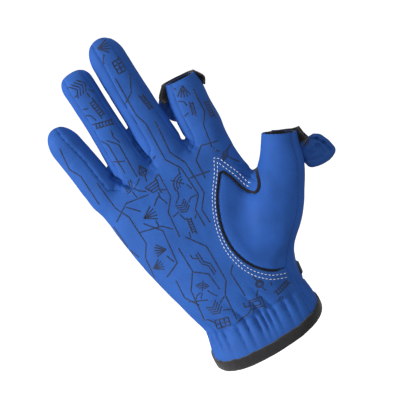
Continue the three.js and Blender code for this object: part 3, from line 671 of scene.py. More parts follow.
def seam_levels(p):
    """Levels whose zeros are the seams. Each is below 0 on the piece it is named for."""
    x, y, z = p.T
    far = np.full(len(p), 30.0)
    levels = {}
    for name, outline in STRIP_OUTLINES.items():
        near = np.all([(p[:, i] > outline[:, j].min() - 8) & (p[:, i] < outline[:, j].max() + 8)
                       for i, j in ((0, 0), (2, 1))], axis=0)
        level = far.copy()
        level[near] = line_distance(x[near], z[near], outline, closed=True)
        levels[name] = np.maximum(level, y - STRIP_BACK)
    near = (x > -5) & (z > 20)
    inset, edge, right = far.copy(), far.copy(), far.copy()
    inset[near] = line_distance(x[near], z[near], INSET_OUTLINE, closed=True)
    edge[near] = line_distance(x[near], z[near], np.vstack([INSET_EDGE, [thumb_side(0.93, -4.0, -1)]]))
    near = x > 15
    right[near] = line_distance(x[near], z[near], RIGHT_OUTLINE, closed=True)
    levels["inset"] = np.maximum(inset, y + FRONT_OF_THUMB)
    run_out = np.clip(np.hypot(x - INSET_EDGE[0][0], z - INSET_EDGE[0][1]) / EDGE_RUN_OUT, 0.0, 1.0)
    levels["edge"] = np.maximum(edge - EDGE_WIDTH * run_out, y + FRONT_OF_THUMB)
    levels["edge_line"] = edge
    levels["back"] = np.minimum(-y, right)
    return levels


def relief(p, normal, levels, sizes):
    """How far the cloth stands out from its smooth form, in mm."""
    x, y, z = p.T
    u, v, a, b, s = HAND.local((x, y, z))
    angle = np.arctan2(v / b, u / a) % (2 * math.pi)
    low = s < GATHERS_TOP
    pleat = 2 * PLEATS * np.interp(angle, ROUND_ANGLES, ROUND_SHARES)
    uneven = sum(share * np.sin(waves * angle + turn) for share, waves, turn in PLEAT_WAVES)
    depth = np.where(y < 0, 1.0, GATHERS_ON_BACK) * sizes.gather_depth / MM
    depth *= 1 + 0.2 * np.sin(7 * angle + 1)
    phase = pleat + uneven - 0.02 * (s - ELASTIC_HEIGHT) * np.cos(angle)
    below = np.abs(np.cos(math.pi * phase)) ** 0.4 - 0.9
    phase = 0.5 * pleat + uneven + 0.3 * np.sin(3 * angle) + 0.03 * (s - ELASTIC_HEIGHT)
    above = np.abs(np.cos(math.pi * phase)) ** 0.7 - 0.8
    share = np.clip((s - ELASTIC_HEIGHT + 1.5) / 3.0, 0, 1)
    out = np.where(low, GATHERS(s) * depth * (below * (1 - share) + 0.75 * above * share), 0)
    petals = PETAL_SWELL * valley(s - PETAL_HEIGHT, 4.5)
    out -= np.where(low, ELASTIC_DIP * valley(s - ELASTIC_HEIGHT, 1.3) - petals, 0)
    for first, second, deep, wide in CREASES:
        distance, t = segment_distance(x, z, first, second)
        fade = np.sin(np.pi * np.clip(0.12 + 0.76 * t, 0, 1))
        fold = valley(distance, wide) - 0.4 * valley(distance, 2.2 * wide)
        out -= np.where(y < 4, deep * fade * fold, 0)
    seam = sizes.seam_depth / MM
    pucker = (1 + 0.35 * ripple(p, 5.0, 3)) * np.clip(2.5 * np.abs(normal[:, 1]) - 0.3, 0, 1)
    for name in STRIPS:
        out -= seam * pucker * valley(levels[name], 0.8)
    out -= seam * valley(levels["inset"], 0.8)
    out += 0.3 * seam * valley(levels["edge_line"] - 4.6, 2.2) * (y < -FRONT_OF_THUMB)
    out -= 1.7 * seam * valley(levels["back"], 1.0) * (s > 3)
    out += 0.22 * ripple(p, 26.0, 11) + 0.1 * ripple(p, 9.0, 12)
    return out


def curled(p):
    """Points with the fingers' forward curl, which starts on the upper palm."""
    start = CUFF_LENGTH + 0.8 * PALM_LENGTH
    share = np.maximum(0, p[:, 2] - start) / (ROOT_HEIGHT + MIDDLE_LENGTH - start)
    out = p.copy()
    out[:, 1] -= FINGER_CURL * share**2
    return out


def in_row(p):
    """Millimetres of the glove's tables as metres of the row's frame."""
    return (curled(np.asarray(p, float)) - (HEM_CENTRE, 0, 0)) * MM


def flat_in_row(p):
    """The same for points that already follow the curl of the fingers."""
    return (np.asarray(p, float) - (HEM_CENTRE, 0, 0)) * MM


GLOVE_BOX = ((-75, -31, -15), (98, 31, 225))
MADE = {}


def glove_panels():
    """The whole outer surface, cut along its seams into the panels."""
    if MADE:
        return MADE
    sizes = bpy.context.scene.glove_sizes
    step = sizes.mesh_step / MM
    verts, quads = surface_of(glove_distance, *GLOVE_BOX, step)
    for _ in range(2):
        slope = gradient(glove_distance, verts)
        square = np.maximum((slope**2).sum(1), 0.2)
        verts = verts - slope * (glove_distance(tuple(verts.T)) / square)[:, None]
    slope = gradient(glove_distance, verts, 0.6)
    normal = slope / np.linalg.norm(slope, axis=1)[:, None]
    levels = seam_levels(verts)
    x, y, z = verts.T
    ends = np.full(len(verts), -50.0)
    for name, length in (("index", FINGERS["index"]["length"]), ("thumb", THUMB["length"])):
        tube = TUBES[name]
        s = tube.along(x, z)
        on = (np.abs(tube.distance((x, y, z))) < 3) & (s > 0.7 * length)
        ends[on] = s[on] - length
    hem = HAND.section(x, y, z)
    hem = np.where(z < 30, hem, 30.0)
    moved = verts + normal * relief(verts, normal, levels, sizes)[:, None]
    values = {"p": moved, "normal": normal, "ends": ends, "hem": hem, **levels}
    skin = Skin(values, triangles_of(verts, quads)).tidy()
    skin = skin.cut(skin["ends"])[1]
    skin = skin.cut(skin["hem"])[0].without_scraps()
    for name in STRIPS:
        skin, MADE[name] = skin.cut(skin[name])
    skin, MADE["thumb"] = skin.cut(skin["inset"])
    rest, MADE["edging"] = skin.cut(skin["edge"])
    MADE["palm"], MADE["back"] = rest.cut(rest["back"])
    for name in [*STRIPS, "thumb", "edging", "palm", "back"]:
        MADE[name] = MADE[name].without_scraps()
    return MADE


# Blender objects


def object_of(name, verts, faces, materials):
    mesh = bpy.data.meshes.new(name)
    mesh.from_pydata([tuple(v) for v in verts], [], [tuple(int(i) for i in f) for f in faces])
    mesh.update()
    mesh.shade_smooth()
    obj = bpy.data.objects.new(name, mesh)
    bpy.context.scene.collection.objects.link(obj)
    for material in materials:
        mesh.materials.append(material)
    return obj


def thickened(obj, thickness, inner=True):
    solidify = obj.modifiers.new("cloth", "SOLIDIFY")
    solidify.thickness = thickness
    solidify.offset = -1
    solidify.use_quality_normals = False
    solidify.material_offset = 1 if inner else 0


def area_of(obj):
    return sum(polygon.area for polygon in obj.data.polygons)


def outward(obj):
    """Turns a piece's faces so that they all look outward."""
    shape = bmesh.new()
    shape.from_mesh(obj.data)
    bmesh.ops.recalc_face_normals(shape, faces=shape.faces)
    shape.to_mesh(obj.data)
    shape.free()


def cut_size(flat, area):
    """Width and length of the smallest cloth of those proportions that the piece was cut from."""
    scale = math.sqrt(max(1.05 * area / (flat[0] * flat[1]), 1e-9))
    return flat[0] * scale, flat[1] * scale


def placed(obj, slot, *nodes):
    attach(obj, "root")
    if nodes:
        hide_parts(*nodes)


# Materials


def linear(colour):
    return (*[c / 12.92 if c < 0.04045 else ((c + 0.055) / 1.055) ** 2.4 for c in colour[:3]], 1.0)


def shaded(colour, factor):
    return tuple(min(1.0, c * factor) for c in colour[:3]) + (1.0,)


class Nodes:
    """A material's node tree with short calls for the nodes used here."""

    def __init__(self, name):
        self.material = bpy.data.materials.new(name)
        self.material.use_nodes = True
        self.tree = self.material.node_tree
        self.shader = self.tree.nodes["Principled BSDF"]
        coordinates = self.tree.nodes.new("ShaderNodeTexCoord")
        self.place = coordinates.outputs["Object"]

    def link(self, out, into):
        self.tree.links.new(out, into)

    def noise(self, scale, detail):
        node = self.tree.nodes.new("ShaderNodeTexNoise")
        node.inputs["Scale"].default_value = scale
        node.inputs["Detail"].default_value = detail
        self.link(self.place, node.inputs["Vector"])
        return node.outputs["Fac"]

    def wave(self, period, direction, distortion):
        node = self.tree.nodes.new("ShaderNodeTexWave")
        node.bands_direction = direction
        node.inputs["Scale"].default_value = 2 * math.pi / (20 * period)
        node.inputs["Distortion"].default_value = distortion
        self.link(self.place, node.inputs["Vector"])
        return node.outputs["Fac"]

    def math(self, operation, first, second):
        node = self.tree.nodes.new("ShaderNodeMath")
        node.operation = operation
        for socket, value in zip(node.inputs, (first, second)):
            if isinstance(value, (int, float)):
                socket.default_value = value
            else:
                self.link(value, socket)
        return node.outputs[0]

    def between(self, factor, low, high, first, second):
        """Two colours mixed as factor goes from low to high."""
        node = self.tree.nodes.new("ShaderNodeValToRGB")
        node.color_ramp.elements[0].position = low
        node.color_ramp.elements[1].position = high
        node.color_ramp.elements[0].color = first
        node.color_ramp.elements[1].color = second
        self.link(factor, node.inputs["Fac"])
        return node.outputs["Color"]

    def times(self, first, second):
        node = self.tree.nodes.new("ShaderNodeMix")
        node.data_type = "RGBA"
        node.blend_type = "MULTIPLY"
        node.inputs[0].default_value = 1.0
        self.link(first, node.inputs[6])
        self.link(second, node.inputs[7])
        return node.outputs[2]

    def roughness(self, factor, low, high):
        node = self.tree.nodes.new("ShaderNodeMapRange")
        node.inputs["To Min"].default_value = low
        node.inputs["To Max"].default_value = high
        self.link(factor, node.inputs["Value"])
        self.link(node.outputs["Result"], self.shader.inputs["Roughness"])

    def bump(self, height, distance, strength=1.0, under=None):
        node = self.tree.nodes.new("ShaderNodeBump")
        node.inputs["Distance"].default_value = distance
        node.inputs["Strength"].default_value = strength
        self.link(height, node.inputs["Height"])
        if under is not None:
            self.link(under, node.inputs["Normal"])
        return node.outputs["Normal"]


def knit_material(name, colour, shade, sheen, knit, mottle):
    """Smooth stretch knit: fine ribs, soft mottling and a light sheen."""
    nodes = Nodes(name)
    broad = nodes.noise(55, 2)
    fine = nodes.noise(900, 2)
    base = nodes.between(broad, 0.3, 0.72, linear(shade), linear(colour))
    heather = nodes.between(fine, 0.25, 0.75, (1 - mottle,) * 3 + (1,), (1, 1, 1, 1))
    nodes.link(nodes.times(base, heather), nodes.shader.inputs["Base Color"])
    nodes.roughness(fine, 0.62, 0.82)
    upright = nodes.wave(knit, "X", 1.2)
    ribs = nodes.math("ADD", upright, nodes.math("MULTIPLY", nodes.wave(knit, "Z", 1.2), 0.5))
    surface = nodes.bump(ribs, 0.00006, 0.5)
    surface = nodes.bump(nodes.noise(240, 3), 0.00025, 0.35, surface)
    nodes.link(surface, nodes.shader.inputs["Normal"])
    nodes.shader.inputs["Sheen Weight"].default_value = sheen
    nodes.shader.inputs["Sheen Roughness"].default_value = 0.45
    nodes.shader.inputs["Sheen Tint"].default_value = shaded(linear(colour), 1.8)
    nodes.shader.inputs["Specular IOR Level"].default_value = 0.25
    return nodes.material


def black_material(name, colour, period, sheen):
    """Black cloth tape: woven ribs across it, with worn lighter flecks."""
    nodes = Nodes(name)
    fleck = nodes.noise(420, 3)
    base = nodes.between(fleck, 0.35, 0.8, linear(colour), shaded(linear(colour), 2.4))
    nodes.link(base, nodes.shader.inputs["Base Color"])
    nodes.roughness(fleck, 0.7, 0.95)
    ribs = nodes.math("ADD", nodes.wave(period, "X", 0.8), nodes.wave(period, "Z", 0.8))
    surface = nodes.bump(ribs, 0.0001, 0.7)
    nodes.link(surface, nodes.shader.inputs["Normal"])
    nodes.shader.inputs["Sheen Weight"].default_value = sheen
    nodes.shader.inputs["Sheen Roughness"].default_value = 0.6
    nodes.shader.inputs["Specular IOR Level"].default_value = 0.15
    return nodes.material


def thread_material(name, colour):
    nodes = Nodes(name)
    strand = nodes.wave(0.0004, "DIAGONAL", 0.4)
    # The thread's twist: its bump is relief, and the colour darkens where that bump sinks. This is painted
    # shade in the grooves between the plies.
    base = nodes.between(strand, 0.1, 0.9, shaded(linear(colour), 0.72), linear(colour))
    nodes.link(base, nodes.shader.inputs["Base Color"])
    nodes.roughness(strand, 0.55, 0.75)
    nodes.link(nodes.bump(strand, 0.00005), nodes.shader.inputs["Normal"])
    nodes.shader.inputs["Sheen Weight"].default_value = 0.2
    nodes.shader.inputs["Specular IOR Level"].default_value = 0.3
    return nodes.material


def ink_material(name, colour, cloth):
    """Print soaked into the knit: darker and lighter where the threads took it up."""
    nodes = Nodes(name)
    soak = nodes.math("ADD", nodes.math("MULTIPLY", nodes.noise(1100, 2), 0.6),
                      nodes.math("MULTIPLY", nodes.noise(180, 2), 0.4))
    base = nodes.between(soak, 0.42, 0.68, linear(colour), linear(cloth))
    nodes.link(base, nodes.shader.inputs["Base Color"])
    nodes.roughness(soak, 0.65, 0.85)
    nodes.link(nodes.bump(nodes.wave(0.0007, "X", 1.2), 0.00006, 0.5), nodes.shader.inputs["Normal"])
    nodes.shader.inputs["Sheen Weight"].default_value = 0.15
    nodes.shader.inputs["Specular IOR Level"].default_value = 0.2
    return nodes.material


def material(name):
    """One of the glove's materials, made when it is first asked for."""
    if name in bpy.data.materials:
        return bpy.data.materials[name]
    colours = bpy.context.scene.glove_colours
    knit = bpy.context.scene.glove_sizes.knit
    if name == "printed_blue_knit":
        return knit_material(name, colours.blue, colours.blue_shade, 0.35, knit, 0.16)
    if name == "plain_blue_knit":
        return knit_material(name, colours.plain_blue, colours.plain_shade, 0.3, knit, 0.12)
    if name == "cap_blue_knit":
        return knit_material(name, colours.cap_blue, colours.plain_shade, 0.25, knit, 0.14)
    if name == "black_binding_tape":
        return black_material(name, colours.binding, 0.0011, 0.3)
    if name == "black_raw_edge":
        return black_material(name, colours.edging, 0.0006, 0.1)
    if name == "black_brushed_lining":
        return black_material(name, colours.lining, 0.0008, 0.35)
    if name == "white_thread":
        return thread_material(name, colours.thread)
    return ink_material(name, colours.ink, colours.ink_faded)


# Pieces that lie on the cloth


class Ground:
    """The outer surface as seen from the palm side, in millimetres of the glove's tables."""

    def __init__(self, skin):
        verts = [tuple(v) for v in curled(skin["p"])]
        self.tree = BVHTree.FromPolygons(verts, [tuple(map(int, t)) for t in skin.tris])

    def at(self, x, z):
        """The point and normal of the cloth at that place, or None."""
        hit, normal, _, _ = self.tree.ray_cast(Vector((x, -90, z)), Vector((0, 1, 0)))
        if hit is None:
            return None
        return np.array(hit), np.array(normal if normal.y < 0 else -normal)


def offset_line(points, distance):
    """A line moved to its left by distance."""
    points = np.asarray(points, float)
    way = np.gradient(points, axis=0)
    way /= np.linalg.norm(way, axis=1)[:, None]
    return points + np.stack([-way[:, 1], way[:, 0]], axis=1) * distance


def crossing(first, second):
    """Where two lines of points first cross: the two indices."""
    for i in range(len(first) - 1):
        a, b = first[i], first[i + 1]
        for j in range(len(second) - 1):
            c, d = second[j], second[j + 1]
            r, s = b - a, d - c
            cross = r[0] * s[1] - r[1] * s[0]
            if abs(cross) < 1e-9:
                continue
            t = ((c - a)[0] * s[1] - (c - a)[1] * s[0]) / cross
            u = ((c - a)[0] * r[1] - (c - a)[1] * r[0]) / cross
            if 0 <= t <= 1 and 0 <= u <= 1:
                return i + 1, j + 1
    return len(first), 0


# Distance between the points of a stitch row, and how far out the rows lie along the inset's left edge, as
# a share of their distance
ROW_STEP = 0.25
ROW_LEFT = through([0.0, 0.2, 0.5, 0.8, 1.0], [1.1, 1.05, 0.75, 0.72, 0.95])


def stitch_rows(distance, start, end):
    """The topstitch row at a distance outside the inset's edge, pointed at its top."""
    left = spline([palm_point(*p) for p in INSET_LEFT], 140)
    left = np.vstack([left, left[-1] + (left[-1] - left[-2]) * np.linspace(1, 14, 30)[:, None]])
    web = spline([palm_point(*p) for p in INSET_WEB], 120)
    web = np.vstack([web[0] - (web[1] - web[0]) * np.linspace(24, 1, 30)[:, None], web])
    left = offset_line(left, distance * ROW_LEFT(np.linspace(0, 1, len(left)))[:, None])
    web = offset_line(web, distance)
    i, j = crossing(left, web)
    turned = np.diff(web[j:, 0]) <= 0
    stop = j + int(turned.argmax()) if turned.any() else len(web)
    row = resampled(np.vstack([left[:i], web[j:stop]]), ROW_STEP)
    length = ROW_STEP * len(row)
    return row[int(start / ROW_STEP):int((length - end) / ROW_STEP)]


def stitches(ground, row, sizes):
    """Thread stitches along a row: each a small rounded bar that dips into the cloth at its ends."""
    length, gap = sizes.stitch_length / MM, sizes.stitch_gap / MM
    half, rise = sizes.stitch_width / MM / 2, sizes.stitch_width / MM * 0.55
    rings, sides = 7, 6
    verts, faces = [], []
    count = int(len(row) * ROW_STEP / (length + gap))
    for k in range(count):
        first = k * (length + gap) / ROW_STEP
        last = first + length / ROW_STEP
        at = [np.array([np.interp(first + (last - first) * i / (rings - 1), range(len(row)), row[:, c])
                        for c in (0, 1)]) for i in range(rings)]
        spots = [ground.at(*point) for point in at]
        if any(spot is None for spot in spots):
            continue
        start = len(verts)
        for i, (centre, normal) in enumerate(spots):
            share = i / (rings - 1)
            swell = max(0.15, math.sin(math.pi * (0.06 + 0.88 * share))) ** 0.5
            ahead = spots[min(i + 1, rings - 1)][0] - spots[max(i - 1, 0)][0]
            ahead /= np.linalg.norm(ahead)
            side = np.cross(ahead, normal)
            side /= np.linalg.norm(side)
            lift = 0.25 * rise * math.sin(math.pi * share) - 0.05
            for j in range(sides):
                angle = 2 * math.pi * j / sides
                verts.append(centre + side * math.cos(angle) * half * swell
                             + normal * (math.sin(angle) * rise * swell + lift))
        for i in range(rings - 1):
            for j in range(sides):
                a, b = start + i * sides + j, start + i * sides + (j + 1) % sides
                faces.append((a, a + sides, b + sides, b))
        faces.append([start + j for j in range(sides)])
        faces.append([start + (rings - 1) * sides + j for j in reversed(range(sides))])
    return verts, faces


# The line print: cells, steps, combs, fans and long bent runs, each motif about 1 across


def mirrored(lines):
    return [[(-x, y) for x, y in line] for line in lines]


def motif_lines(kind):
    if kind == "steps":
        first = [(-0.6, -0.5), (-0.6, -0.25), (-0.3, -0.25), (-0.3, 0.0),
                 (0.0, 0.0), (0.0, 0.25), (0.3, 0.25), (0.3, 0.5)]
        return [first, [(x + 0.16, y - 0.16) for x, y in first], [(0.3, 0.5), (0.75, 0.5)]]
    if kind == "ladder":
        rails = [[(-0.16, -0.7), (-0.16, 0.7)], [(0.16, -0.85), (0.16, 0.6)]]
        return rails + [[(-0.16, y), (0.16, y)] for y in np.linspace(-0.6, 0.5, 6)]
    if kind == "cell":
        ring = [(0.42 * math.cos(math.pi / 3 * i), 0.42 * math.sin(math.pi / 3 * i)) for i in range(7)]
        inner = [(0.55 * x, 0.55 * y) for x, y in ring]
        arms = [[ring[0], (0.95, 0.1)], [ring[3], (-0.95, -0.1)]]
        return [ring, inner, *arms, [ring[1], inner[1]], [ring[4], inner[4]]]
    if kind == "arcs":
        return [[(r * math.cos(a) - 0.3, r * math.sin(a) - 0.3) for a in np.linspace(-0.2, 1.75, 10)]
                for r in (0.4, 0.62, 0.84)] + [[(-0.3, -0.3), (0.5, 0.5)]]
    if kind == "kite":
        return [[(0, -0.65), (0.4, 0.05), (0, 0.45), (-0.4, 0.05), (0, -0.65)], [(-0.4, 0.05), (0.4, 0.05)],
                [(0, -0.65), (0, 0.45)], [(0, 0.45), (0.1, 0.9)]]
    if kind == "comb":
        return [[(-0.75, -0.3), (0.75, -0.3)]] + [[(x, -0.3), (x + 0.1, 0.15 + 0.12 * (i % 3))]
                                                  for i, x in enumerate(np.linspace(-0.6, 0.6, 7))]
    if kind == "run":
        first = [(0.0, -1.1), (0.0, -0.25), (0.4, 0.2), (0.4, 1.1)]
        return [first, [(x - 0.22, y + 0.08) for x, y in first], [(0.4, 0.7), (0.8, 0.95), (0.8, 1.3)]]
    if kind == "panes":
        rows = [[(-0.55, y), (0.55, y)] for y in (-0.35, 0.0, 0.35)]
        return rows + [[(x, -0.35), (x, 0.35)] for x in (-0.55, -0.18, 0.18, 0.55)]
    if kind == "chevrons":
        return [[(-0.55, y - 0.2), (0.0, y + 0.15), (0.55, y - 0.2)] for y in (-0.4, -0.15, 0.1, 0.35)]
    if kind == "fan":
        return [[(0, -0.5), (0.95 * math.sin(a), 0.95 * math.cos(a) - 0.5)]
                for a in (-0.7, -0.42, -0.14, 0.14, 0.42)]
    if kind == "wedge":
        return [[(-0.65, -0.35), (0.65, -0.35), (0.3, 0.4), (-0.3, 0.4), (-0.65, -0.35)],
                [(-0.53, -0.1), (0.53, -0.1)], [(-0.42, 0.15), (0.42, 0.15)], [(0.3, 0.4), (0.3, 0.85)]]
    outer = [(-0.55, -0.38), (0.55, -0.38), (0.55, 0.38), (-0.55, 0.38), (-0.55, -0.38)]
    return [outer, [(0.55 * x, 0.5 * y) for x, y in outer], [(0.55, 0.0), (1.0, 0.0), (1.0, 0.4)]]


MOTIF_KINDS = ("steps", "ladder", "cell", "arcs", "kite", "comb",
               "run", "panes", "chevrons", "fan", "wedge", "frames")

# Long runs of the print, in XZ, that the motifs lie between
LONG_RUNS = [
    [(-47, 62), (-46, 84), (-41, 92), (-42, 112), (-47, 121), (-50, 142)],
    [(-31, 28), (-29, 52), (-23, 62), (-24, 80)], [(-13, 22), (-12, 40), (-6, 48), (-7, 72), (-16, 84)],
    [(-20, 86), (-19, 104), (-12, 112), (-13, 128)], [(-39, 66), (-29, 72), (-28, 94), (-36, 104)],
    [(-2, 84), (-3, 97), (3, 105), (2, 124), (-4, 134), (-4, 160), (-8, 168), (-9, 196)],
    [(2, 80), (1, 95), (7, 103), (6, 126), (1, 136), (1, 158)],
    [(12, 112), (13, 124), (21, 131), (32, 129)], [(-31, 138), (-32, 160), (-37, 166), (-38, 184)],
    [(-26, 132), (-27, 156), (-32, 163)], [(26, 126), (27, 143), (33, 150), (33, 166)],
    [(-56, 128), (-57, 150), (-62, 157), (-62, 172)], [(-42, 100), (-27, 98), (-22, 92)],
    [(-52, 112), (-40, 121), (-24, 119)], [(4, 117), (22, 114)], [(-34, 46), (-22, 42)],
    [(-13, 176), (-3, 182), (2, 196)], [(-38, 150), (-28, 146)],
    [(9, 74), (7, 60), (-1, 51), (0, 33)], [(15, 58), (13, 49), (19, 40), (18, 31)], [(1, 84), (8, 79)],
    [(-22, 62), (-14, 56), (-13, 44)], [(-35, 62), (-36, 48), (-30, 40)], [(-55, 110), (-52, 92), (-49, 86)],
]


# The print's layout: where motifs are tried, their sizes, and how far each next try is smaller
PRINT_SEED = 7
PRINT_CORNER = (-68, 24)
PRINT_LOW = 19
PRINT_ROWS, PRINT_COLUMNS = 38, 22
PRINT_SPACING = (6.0, 5.5)
PRINT_JITTER = 1.5
RUN_JITTER = 0.8
MOTIF_SIZES = (7.5, 11.5)
MOTIF_TRIES = 3
MOTIF_SHRINK = 0.14
LINKS_PER_MOTIF = 4
LINE_STEP = 0.6
CELL = 0.75
QUARTERS = (0, 1, 2, 3)


def cells_near(points, reach):
    """Cells of a fine grid that points fall in, with reach more cells on each side."""
    steps = range(-reach, reach + 1)
    cells = np.unique(np.round(np.asarray(points) / CELL).astype(int), axis=0).tolist()
    return {(i + di, k + dk) for i, k in cells for di in steps for dk in steps}


def print_lines(seed, fits):
    """Every line of the print as points in XZ: long runs, whole motifs in the room between, and links."""
    draw = random.Random(seed)

    def near_to(value, jitter):
        return value + draw.uniform(-jitter, jitter)

    lines = [[(near_to(x, RUN_JITTER), near_to(z, RUN_JITTER)) for x, z in run] for run in LONG_RUNS]
    drawn = np.vstack([resampled(line, LINE_STEP) for line in lines])
    near, close = cells_near(drawn, 2), cells_near(drawn, 1)
    spots = []
    for row in range(PRINT_ROWS):
        for column in range(PRINT_COLUMNS):
            x = near_to(PRINT_CORNER[0] + PRINT_SPACING[0] * (column + 0.5 * (row % 2)), PRINT_JITTER)
            z = near_to(PRINT_CORNER[1] + PRINT_SPACING[1] * row, PRINT_JITTER)
            largest = draw.uniform(*MOTIF_SIZES)
            turn = near_to(draw.choice(QUARTERS) * math.pi / 2, 0.3)
            flip = draw.random() < 0.5
            first = draw.randrange(len(MOTIF_KINDS))
            for k in range(MOTIF_TRIES):
                size = largest * (1 - MOTIF_SHRINK * k)
                c, s = size * math.cos(turn), size * math.sin(turn)
                motif = motif_lines(MOTIF_KINDS[(first + 5 * k) % len(MOTIF_KINDS)])
                motif = mirrored(motif) if flip else motif
                motif = [[(x + c * u - s * v, z + s * u + c * v) for u, v in line] for line in motif]
                points = np.vstack([resampled(line, LINE_STEP) for line in motif])
                if not cells_near(points, 0) & near and fits(points):
                    lines += motif
                    near |= cells_near(points, 2)
                    close |= cells_near(points, 1)
                    spots.append((np.array([x, z]), 0.55 * size))
                    break
    for middle, reach in LINKS_PER_MOTIF * spots:
        angle = draw.choice(QUARTERS) * math.pi / 2 + draw.uniform(0.2, 1.2)
        way = np.array([math.cos(angle), math.sin(angle)])
        side = np.array([-way[1], way[0]]) * draw.uniform(-0.5, 0.5)
        bend = middle + way * reach * 2.0 + side * reach
        corners = [middle + way * reach * 1.15, bend, middle + way * reach * draw.uniform(2.8, 4.6)]
        points = resampled(corners, LINE_STEP)
        met = [tuple(cell) in close for cell in np.round(points / CELL).astype(int).tolist()]
        stop = met.index(True, 3) + 1 if any(met[3:]) else len(points)
        if stop > 6:
            lines.append([tuple(point) for point in points[:stop]])
            close |= cells_near(points[:stop], 1)
    return lines


RIBBON_STEP = 0.7
RIBBON_LIFT = 0.07
RIBBON_SINK = -0.12
STEEPEST = -0.35
LARGEST_JUMP = 2.5


def print_ribbons(ground, lines, width, keep_out):
    """Flat ribbons on the cloth along the print's lines, wherever the printed panel is."""
    half = width / 2
    verts, faces = [], []
    for line in lines:
        points = resampled(line, RIBBON_STEP)
        way = np.gradient(points, axis=0)
        way /= np.linalg.norm(way, axis=1)[:, None]
        side = np.stack([-way[:, 1], way[:, 0]], axis=1)
        runs = [[]]
        clear = keep_out(points[:, 0], points[:, 1])
        for point, across, free in zip(points, side, clear):
            spots = [ground.at(*(point + across * half * k)) for k in (-1, 0, 1)] if free else [None]
            steep = any(spot is None or spot[1][1] > STEEPEST for spot in spots)
            jumps = (not steep and runs[-1]
                     and np.linalg.norm(spots[1][0] - runs[-1][-1][1][0]) > LARGEST_JUMP)
            if steep or jumps:
                runs.append([])
            if not steep:
                runs[-1].append(spots)
        for run in runs:
            if len(run) < 3:
                continue
            start = len(verts)
            for spots in run:
                for height in (RIBBON_LIFT, RIBBON_SINK):
                    verts.extend(centre + normal * height for centre, normal in spots)
            for i in range(len(run) - 1):
                a, b = start + 6 * i, start + 6 * (i + 1)
                faces += [(a, a + 1, b + 1, b), (a + 1, a + 2, b + 2, b + 1)]
                faces += [(a + 3, b + 3, b + 4, a + 4), (a + 4, b + 4, b + 5, a + 5)]
                faces += [(a, b, b + 3, a + 3), (a + 2, a + 5, b + 5, b + 2)]
            for a, turned in ((start, False), (start + 6 * (len(run) - 1), True)):
                cap = [(a, a + 3, a + 4, a + 1), (a + 1, a + 4, a + 5, a + 2)]
                faces += [face[::-1] for face in cap] if turned else cap
    return verts, faces


# Pieces made from rings of points


def ring_faces(rings, count, closed=True):
    faces = []
    for i in range(rings - 1):
        for j in range(count if closed else count - 1):
            a, b = i * count + j, i * count + (j + 1) % count
            faces.append((a, b, b + count, a + count))
    return faces


# The folded tape's profile, as how far it lies inside the cloth's outside and its height over the hem
BINDING_PROFILE = [
    (0.1, 4.9), (-0.75, 5.0), (-1.25, 4.6), (-1.42, 3.1), (-1.38, 1.2), (-1.2, -0.3), (-0.6, -1.0),
    (0.5, -1.2), (1.7, -1.15), (2.5, -0.8), (2.95, 0.2), (3.05, 2.0), (2.95, 4.2), (2.5, 4.9), (1.6, 4.95),
]


def binding_mesh():
    """Tape folded over the hem: a rounded U of cloth drawn round the hem's oval."""
    around = 260
    angles = np.linspace(0, 2 * math.pi, around, endpoint=False)
    waves = 0.16 * np.sin(13 * angles + 0.7) + 0.1 * np.sin(29 * angles)
    verts = []
    for k, (inset, height) in enumerate(BINDING_PROFILE):
        uneven = 0.16 * np.sin(17 * angles + k * 0.5) + 0.1 * np.sin(41 * angles + k)
        top = 1.0 if height > 4 else 0.3
        verts.append(HAND.point(angles, height + waves * top, -inset + 0.35 * uneven))
    faces = ring_faces(len(BINDING_PROFILE), around)
    last = (len(BINDING_PROFILE) - 1) * around
    faces += [(last + j, last + (j + 1) % around, (j + 1) % around, j) for j in range(around)]
    return np.vstack(verts), faces


# The wrist tab: heights over the hem, angles round the wrist from the thumb's side to the back, thickness
TAB = dict(low=23.2, high=32.8, start=-3.0, end=96.0, rise=2.0, under=0.3)


def tab_mesh():
    """The tape tab on the back of the wrist, a padded slab bent round it."""
    rows, across = 15, 60
    angles = np.radians(np.linspace(TAB["start"], TAB["end"], across))
    outer, inner = [], []
    for k, height in enumerate(np.linspace(TAB["low"], TAB["high"], rows)):
        edge = min(k, rows - 1 - k)
        rise = TAB["rise"] * min(1.0, 0.45 + 0.35 * edge)
        ends = np.minimum(np.arange(across), across - 1 - np.arange(across))
        out = rise * np.minimum(1.0, 0.4 + 0.3 * ends) + 0.12 * np.sin(angles * 40)
        outer.append(HAND.point(angles, np.full(across, height), out))
        inner.append(HAND.point(angles, np.full(across, height), np.full(across, TAB["under"])))
    count = rows * across
    faces = ring_faces(rows, across, closed=False)
    faces += [tuple(count + i for i in reversed(face)) for face in faces]
    last = across * (rows - 1)
    border = list(range(across)) + [across * i + across - 1 for i in range(1, rows)]
    border += [last + j for j in reversed(range(across - 1))]
    border += [across * i for i in reversed(range(1, rows - 1))]
    for a, b in zip(border, border[1:] + border[:1]):
        faces.append((b, a, count + a, count + b))
    return np.vstack(outer + inner), faces


# Sections of the cap pouches from the closed end up to the mouth: (along, width, depth, shift)
INDEX_CAP = dict(width=30.4, depth=11.0, length=24.5, below=4.5, aside=-2.8, behind=16.75)
INDEX_CAP_SECTIONS = [(0.0, 0.4, 0.45, 0.0), (0.16, 0.8, 0.8, 0.0), (0.38, 0.97, 0.95, 0.0),
                      (0.62, 0.98, 1.0, -0.03), (0.84, 0.9, 1.0, -0.03), (1.0, 0.74, 0.9, -0.01)]
THUMB_CAP = dict(width=21.5, depth=11.0, length=20.3, lean=5.0, up=0.94, aside=7.0, behind=5.5)
THUMB_CAP_SECTIONS = [(0.0, 0.5, 0.45, 0.04), (0.14, 0.9, 0.8, 0.02), (0.36, 1.0, 1.0, 0.0),
                      (0.62, 0.96, 1.0, -0.02), (0.84, 0.84, 0.9, -0.06), (1.0, 0.62, 0.7, -0.13)]

